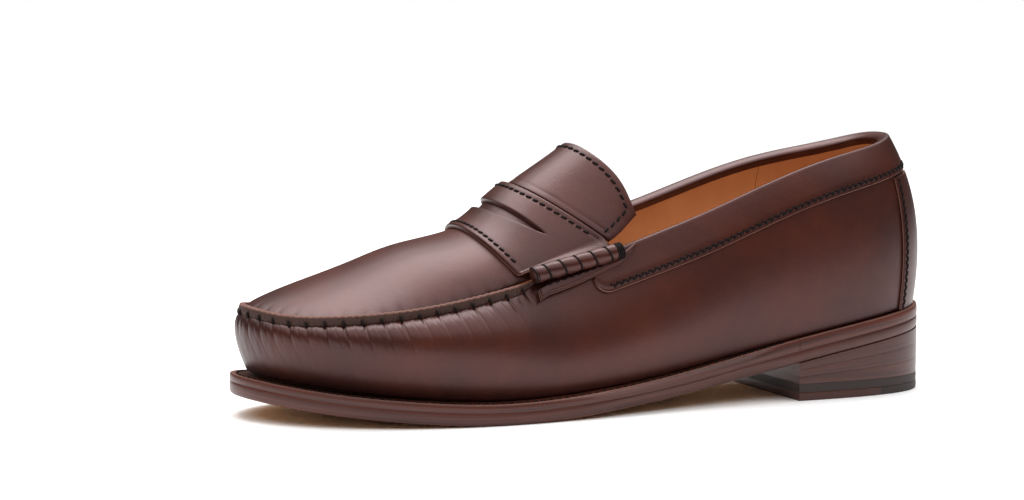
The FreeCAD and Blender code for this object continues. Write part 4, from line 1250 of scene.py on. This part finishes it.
def beefRoll(name, side):
    front, back, along, up, out = rollLine(side)
    total = np.linalg.norm(back - front)
    rings, sides = 261, 48
    s = np.linspace(0, total, rings)[:, None]
    angle = (np.arange(sides) * 2 * np.pi / sides)[None, :]
    width = total / roll["humps"]
    phase = (s + roll["tilt"] * np.sin(angle)) / width
    hump = np.abs(np.sin(np.pi * phase)) ** 0.55
    girth = roll["waist"] + (roll["radius"] - roll["waist"]) * hump
    wrapped = ease(s, total - roll["rearWraps"] * roll["wrapStep"] - 0.8,
                   total - roll["rearWraps"] * roll["wrapStep"])
    girth = girth * (1 - wrapped) + roll["waist"] * wrapped
    ends = np.minimum(s, total - s)
    girth = girth * np.sqrt(np.maximum(0.02, 1 - (1 - np.clip(ends / 1.6, 0, 1)) ** 2))
    circle = out * np.cos(angle)[..., None] + up * np.sin(angle)[..., None]
    points = front + along * s[..., None] + circle * girth[..., None]
    faces = gridFaces(rings, sides, closedColumns=True).tolist()
    faces += [tuple(range(sides)), tuple(range((rings - 1) * sides, rings * sides))]
    # darker in the valleys between the humps: painted shade
    shade = np.broadcast_to(0.75 * (1 - hump) ** 2, (rings, sides))
    saveMesh("beef_roll_leather_" + name, points.reshape(-1, 3), faces, [upperCalf], "upper",
             ("beef_roll_" + name,),
             attributes={"burnish_and_shade": shade.ravel()})
    parts = []
    turn = np.arange(40) * 2 * np.pi / 40
    wraps = [(k * width, roll["tilt"]) for k in range(1, roll["humps"])]
    wraps += [(total - 0.9 - roll["wrapStep"] * k, 0.25) for k in range(roll["rearWraps"])]
    wraps += [(1.3, 0.3), (2.1, 0.3)]
    for place, tilt in wraps:
        girth = roll["waist"] + roll["threadRadius"] * 0.55
        cord = front + along * (place - tilt * np.sin(turn))[:, None]
        cord = cord + (out * np.cos(turn)[:, None] + up * np.sin(turn)[:, None]) * girth
        parts.append(tube(cord, roll["threadRadius"], 8, True))
    saveMesh("beef_roll_thread_" + name, *joinParts(parts), [waxThread], "upper")


foot = {"front": 187.5, "back": 143.5, "margin": 0.6, "stitchPitch": 3.3, "stitchIn": 0.75}
# how far the foot's upper and lower edges lie under the topline, the back end rising to a point
footTop = graphOf((143.5, 0.0), (148, 1.6), (156, 3.3), (166, 3.6), (187.5, 4.4))
footBottom = graphOf((143.5, 1.0), (147, 3.6), (156, 5.6), (166, 6.6), (187.5, 8.0))


def strapFoot(name, side):
    first, end = sorted((station(foot["front"], side), station(foot["back"], side)))
    for label, margin, low, thick in (("under", foot["margin"], 1.6, 1.0), ("over", 0.0, 2.6, 1.2)):
        grow = margin / 780.0
        ts = edgedSpread(first - grow, end + grow, 90, 0.002, 0.002)
        vs = edgedSpread(0, 1, 12, 0.15, 0.15)
        xs = topPlan(ts)[:, 0]
        high = footTop(xs)[:, None]
        grid = high + (footBottom(xs)[:, None] + margin - high) * vs
        base = wallAt(ts, grid, np.zeros(grid.shape))
        normals = unit(wallAt(ts, grid, np.ones(grid.shape)) - base)
        leatherSheet("strap_foot_%s_%s" % (label, name), base, normals, thick, 0.7, low, "upper",
                     ("strap_foot_" + name,) if label == "over" else (), burnish_and_shade=0.25)
    ts = np.linspace(station(foot["front"] - 3, side), station(foot["back"] + 6, side), 120)
    below = footTop(topPlan(ts)[:, 0])[:, None] + foot["stitchIn"]
    base = wallAt(ts, below, np.full(below.shape, 3.65))[:, 0]
    normals = unit(wallAt(ts, below, np.full(below.shape, 4.65))[:, 0] - base)
    stitches("strap_foot_stitches_" + name, base, normals, foot["stitchPitch"], 0.7, 0.36)


for name, side in {"lateral": 1, "medial": -1}.items():
    beefRoll(name, side)
    strapFoot(name, side)
print("strap, rolls and feet made")


# collar band, folded over the topline
collar = {
    "height": 15.0, "thick": 1.2, "corner": 7.0, "fold": 3.0, "foldRise": 1.1, "rows": (1.7, 2.5),
          "pitch": 3.0,
    "threadRadius": 0.4, "slant": 0.4,
}
collarFrom, collarTo = station(163, -1) - 1.0, station(163, 1)
collarHeight = graphOf((14.5, collar["height"]), (60, collar["height"] + 1), (165, collar["height"]))


def collarDepth(ts):
    # the band's height round the shoe, rounded off at its two front corners
    x = topPlan(ts)[:, 0]
    run = runLength(topEdge(ts))
    ends = np.minimum(run, run[-1] - run)
    r = collar["corner"]
    near = np.clip(ends / r, 0, 1)
    return collarHeight(x) - r * (1 - np.sqrt(np.maximum(0, 1 - (1 - near) ** 2)))


def collarBand():
    ts = edgedSpread(collarFrom, collarTo, 520, 0.004, 0.004)
    depth = collarDepth(ts)
    gap, thick, fold = last["layerGap"], collar["thick"], collar["fold"]
    inner = liningLow - 0.05
    middle, reach = (gap + thick + inner) / 2, (gap + thick - inner) / 2
    below, off, shade = [], [], []
    marks = np.array([1.0, 0.985, 0.95, 0.9, 0.84, 0.76, 0.66, 0.55, 0.44, 0.33, 0.22, 0.12, 0.05])
    grooves = collar["rows"]
    for share in marks:
        rise = depth * share
        below.append(rise)
        edge = np.clip((depth - rise) / 0.7, 0, 1)
        dent = sum(0.18 * np.exp(-((depth - rise - g) / 0.6) ** 2) for g in grooves)
        off.append(gap + thick * (0.45 + 0.55 * np.sqrt(np.maximum(0, 1 - (1 - edge) ** 2))) - dent)
        shade.append(0.25 * np.exp(-(depth - rise) / 3.0))
    for angle in np.linspace(0, np.pi, 11):
        below.append(np.full(len(ts), -collar["foldRise"] * np.sin(angle)))
        off.append(np.full(len(ts), middle + reach * np.cos(angle)))
        shade.append(np.full(len(ts), 0.15))
    for drop in (0.8, 1.8, fold - 0.3, fold):
        below.append(np.full(len(ts), drop))
        off.append(np.full(len(ts), inner + (0.0 if drop < fold else 0.2)))
        shade.append(np.full(len(ts), 0.2))
    for drop in (fold, 1.0):
        below.append(np.full(len(ts), drop))
        off.append(np.full(len(ts), inner + 0.3))
        shade.append(np.full(len(ts), 0.2))
    for angle in np.linspace(np.pi, 0, 9):
        below.append(np.full(len(ts), -(collar["foldRise"] - 0.4) * np.sin(angle)))
        off.append(np.full(len(ts), middle + (reach - 0.5) * np.cos(angle)))
        shade.append(np.full(len(ts), 0.2))
    below.append(depth * 0.3)
    off.append(np.full(len(ts), gap))
    shade.append(np.full(len(ts), 0.2))
    below.append(depth)
    off.append(np.full(len(ts), gap))
    shade.append(np.full(len(ts), 0.4))
    below, off, shade = (np.array(k).T for k in (below, off, shade))
    points = wallAt(ts, below, off)
    rows, columns = below.shape
    faces = gridFaces(rows, columns, 0, False, True).tolist()
    faces += [tuple(range(columns)), tuple(range((rows - 1) * columns, rows * columns))]
    pick = ([1 if k in (0, columns - 1) else 0 for k in range(columns)]) * (rows - 1) + [0, 0]
    saveMesh("collar_band_leather", points.reshape(-1, 3), faces, [upperCalf, calfEdge], "upper",
             ("collar_band",),
             attributes={"burnish_and_shade": shade.ravel()}, faceMaterial=pick)
    for k, inset in enumerate(grooves):
        line = np.linspace(collarFrom + 0.008, collarTo - 0.008, 700)
        depth = np.interp(line, ts, collarDepth(ts))
        place = (depth - inset)[:, None]
        base = wallAt(line, place, np.full(place.shape, gap + thick - 0.15))[:, 0]
        normals = unit(wallAt(line, place, np.full(place.shape, gap + thick + 1))[:, 0] - base)
        stitches("collar_stitches_%d" % (k + 1), base, normals, collar["pitch"], 0.9, collar["threadRadius"],
                 start=k * collar["pitch"] / 2, end=collar["pitch"] / 2 - k * collar["pitch"] / 2,
                 slant=collar["slant"] * (1 - 2 * k))


collarBand()


# strip over the back seam
backStrip = {"low": 0.3, "thick": 1.1, "half": 0.054, "stitchIn": 1.3, "pitch": 3.0, "threadRadius": 0.42}


def heelStrip():
    s = edgedSpread(-1, 1, 90, 0.04, 0.04) * backStrip["half"]
    tops = np.array([runLength(wallPoints(t, wallSamples))[-1] for t in s])
    vs = np.linspace(0.004, 1, 60)
    reach = (tops - collar["height"] - 0.6) / tops
    ts = np.broadcast_to(s[:, None], (len(s), len(vs)))
    grid = reach[:, None] * vs[None, :]
    base, normals = wallPoints(ts, grid), wallNormals(ts, grid)
    fade, distance = edgeFade(base, 0.7, sides=(True, True, False, False))
    dent = -0.15 * np.exp(-((distance - backStrip["stitchIn"]) / 0.6) ** 2)
    leatherSheet("back_strip_leather", base, normals, backStrip["thick"], 0.7, backStrip["low"], "upper",
                 ("back_strip",),
                 relief=dent, burnish_and_shade=0.3, sides=(True, True, False, False))
    perTurn = np.linalg.norm(base[1:, 30] - base[:-1, 30], axis=1).sum() / (2 * backStrip["half"])
    for label, side in (("lateral", 1), ("medial", -1)):
        for k in (0, 1):
            inset = (backStrip["stitchIn"] + 0.8 * k) / perTurn
            line = np.full(len(vs), side * (backStrip["half"] - inset))
            level = vs * reach[0]
            base = wallPoints(line, level) + wallNormals(line,
                                                        level) * (backStrip["low"] + backStrip["thick"] - 0.12)
            stitches("back_strip_stitches_%s_%d" % (label, k + 1), base, wallNormals(line, level),
                     backStrip["pitch"], 0.9,
                     backStrip["threadRadius"], start=k * 1.5, end=1.5 - k * 1.5, slant=0.4 * (1 - 2 * k))


heelStrip()
print("collar and back strip made")


# finishes of the layers shown as they are
cadFinish = {
    "insole_rib": (puffBoard, "insole"), "cork_filler": (corkFill, "cork"), "shank": (shankSteel, "steel"),
    "insole_board": (insoleBoard, "insole"), "heel_pad": (padFoam, "foam"),
             "heel_counter": (puffBoard, "stiffener"),
    "side_lining_lateral": (puffBoard, "stiffener"), "toe_puff": (puffBoard, "stiffener"),
    "side_lining_medial": (puffBoard, "stiffener"),
}
for name, (material, slotName) in cadFinish.items():
    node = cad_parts[name]
    node.data.materials.clear()
    node.data.materials.append(material)


# floor, light and camera
studio = {
    "floor": "#ffffff", "seen": 1.0, "world": 0.06,
    "tentHeight": 4.0, "tentSize": 10.0, "tentPower": 560,
    "softPlace": (0.0, -0.35, 1.3), "softSize": (1.3, 0.8), "softPower": 17,
    "camera": (0.386, 0.9033, 0.151), "look": (-0.3618, -0.9279, -0.0905), "lens": 84.4,
}


def softBox(name, place, target, size, power):
    light = bpy.data.lights.new(name, "AREA")
    light.shape = "RECTANGLE"
    light.size, light.size_y = size
    light.energy = power
    thing = bpy.data.objects.new(name, light)
    bpy.context.scene.collection.objects.link(thing)
    way = unit(np.array(place) - np.array(target))
    thing.location = place
    thing.rotation_euler = lookAlong(-way)
    return thing


def lookAlong(way):
    return Vector(way).to_track_quat("-Z", "Y").to_euler()


def makeStudio():
    white, shader = newMaterial("white_paper_sweep",
                                {"Base Color": hexColour(studio["floor"]), "Roughness": 0.9})
    mesh = bpy.data.meshes.new("floor")
    mesh.from_pydata([(-2, -2, 0), (2, -2, 0), (2, 0.42, 0), (-2, 0.42, 0)], [], [(0, 1, 2, 3)])
    mesh.materials.append(white)
    floor = bpy.data.objects.new("floor", mesh)
    bpy.context.scene.collection.objects.link(floor)
    world = bpy.data.worlds.new("studio")
    bpy.context.scene.world = world
    world.use_nodes = True
    # the paper behind shows white, but lights the shoe only a little
    back = world.node_tree.nodes["Background"]
    back.inputs["Color"].default_value = hexColour(studio["floor"])
    seen = addNode(world, "ShaderNodeLightPath")
    strength = addNode(world, "ShaderNodeMapRange", {"To Min": studio["world"], "To Max": studio["seen"]},
                       {"Value": seen.outputs["Is Camera Ray"]})
    world.node_tree.links.new(back.inputs["Strength"], strength.outputs["Result"])
    softBox("tent_top", (0.0, 0.0, studio["tentHeight"]), (0.0, 0.0, 0.0),
            (studio["tentSize"], studio["tentSize"]), studio["tentPower"])
    softBox("overhead_softbox", studio["softPlace"], (0.0, 0.0, 0.05), studio["softSize"], studio["softPower"])
    camera = bpy.data.cameras.new("camera")
    camera.lens = studio["lens"]
    camera.sensor_width = 36.0
    camera.clip_start = 0.01
    thing = bpy.data.objects.new("camera", camera)
    thing.location = studio["camera"]
    thing.rotation_euler = lookAlong(studio["look"])
    bpy.context.scene.collection.objects.link(thing)
    bpy.context.scene.camera = thing
    bpy.context.scene.view_settings.view_transform = "Standard"


makeStudio()
print("studio made")
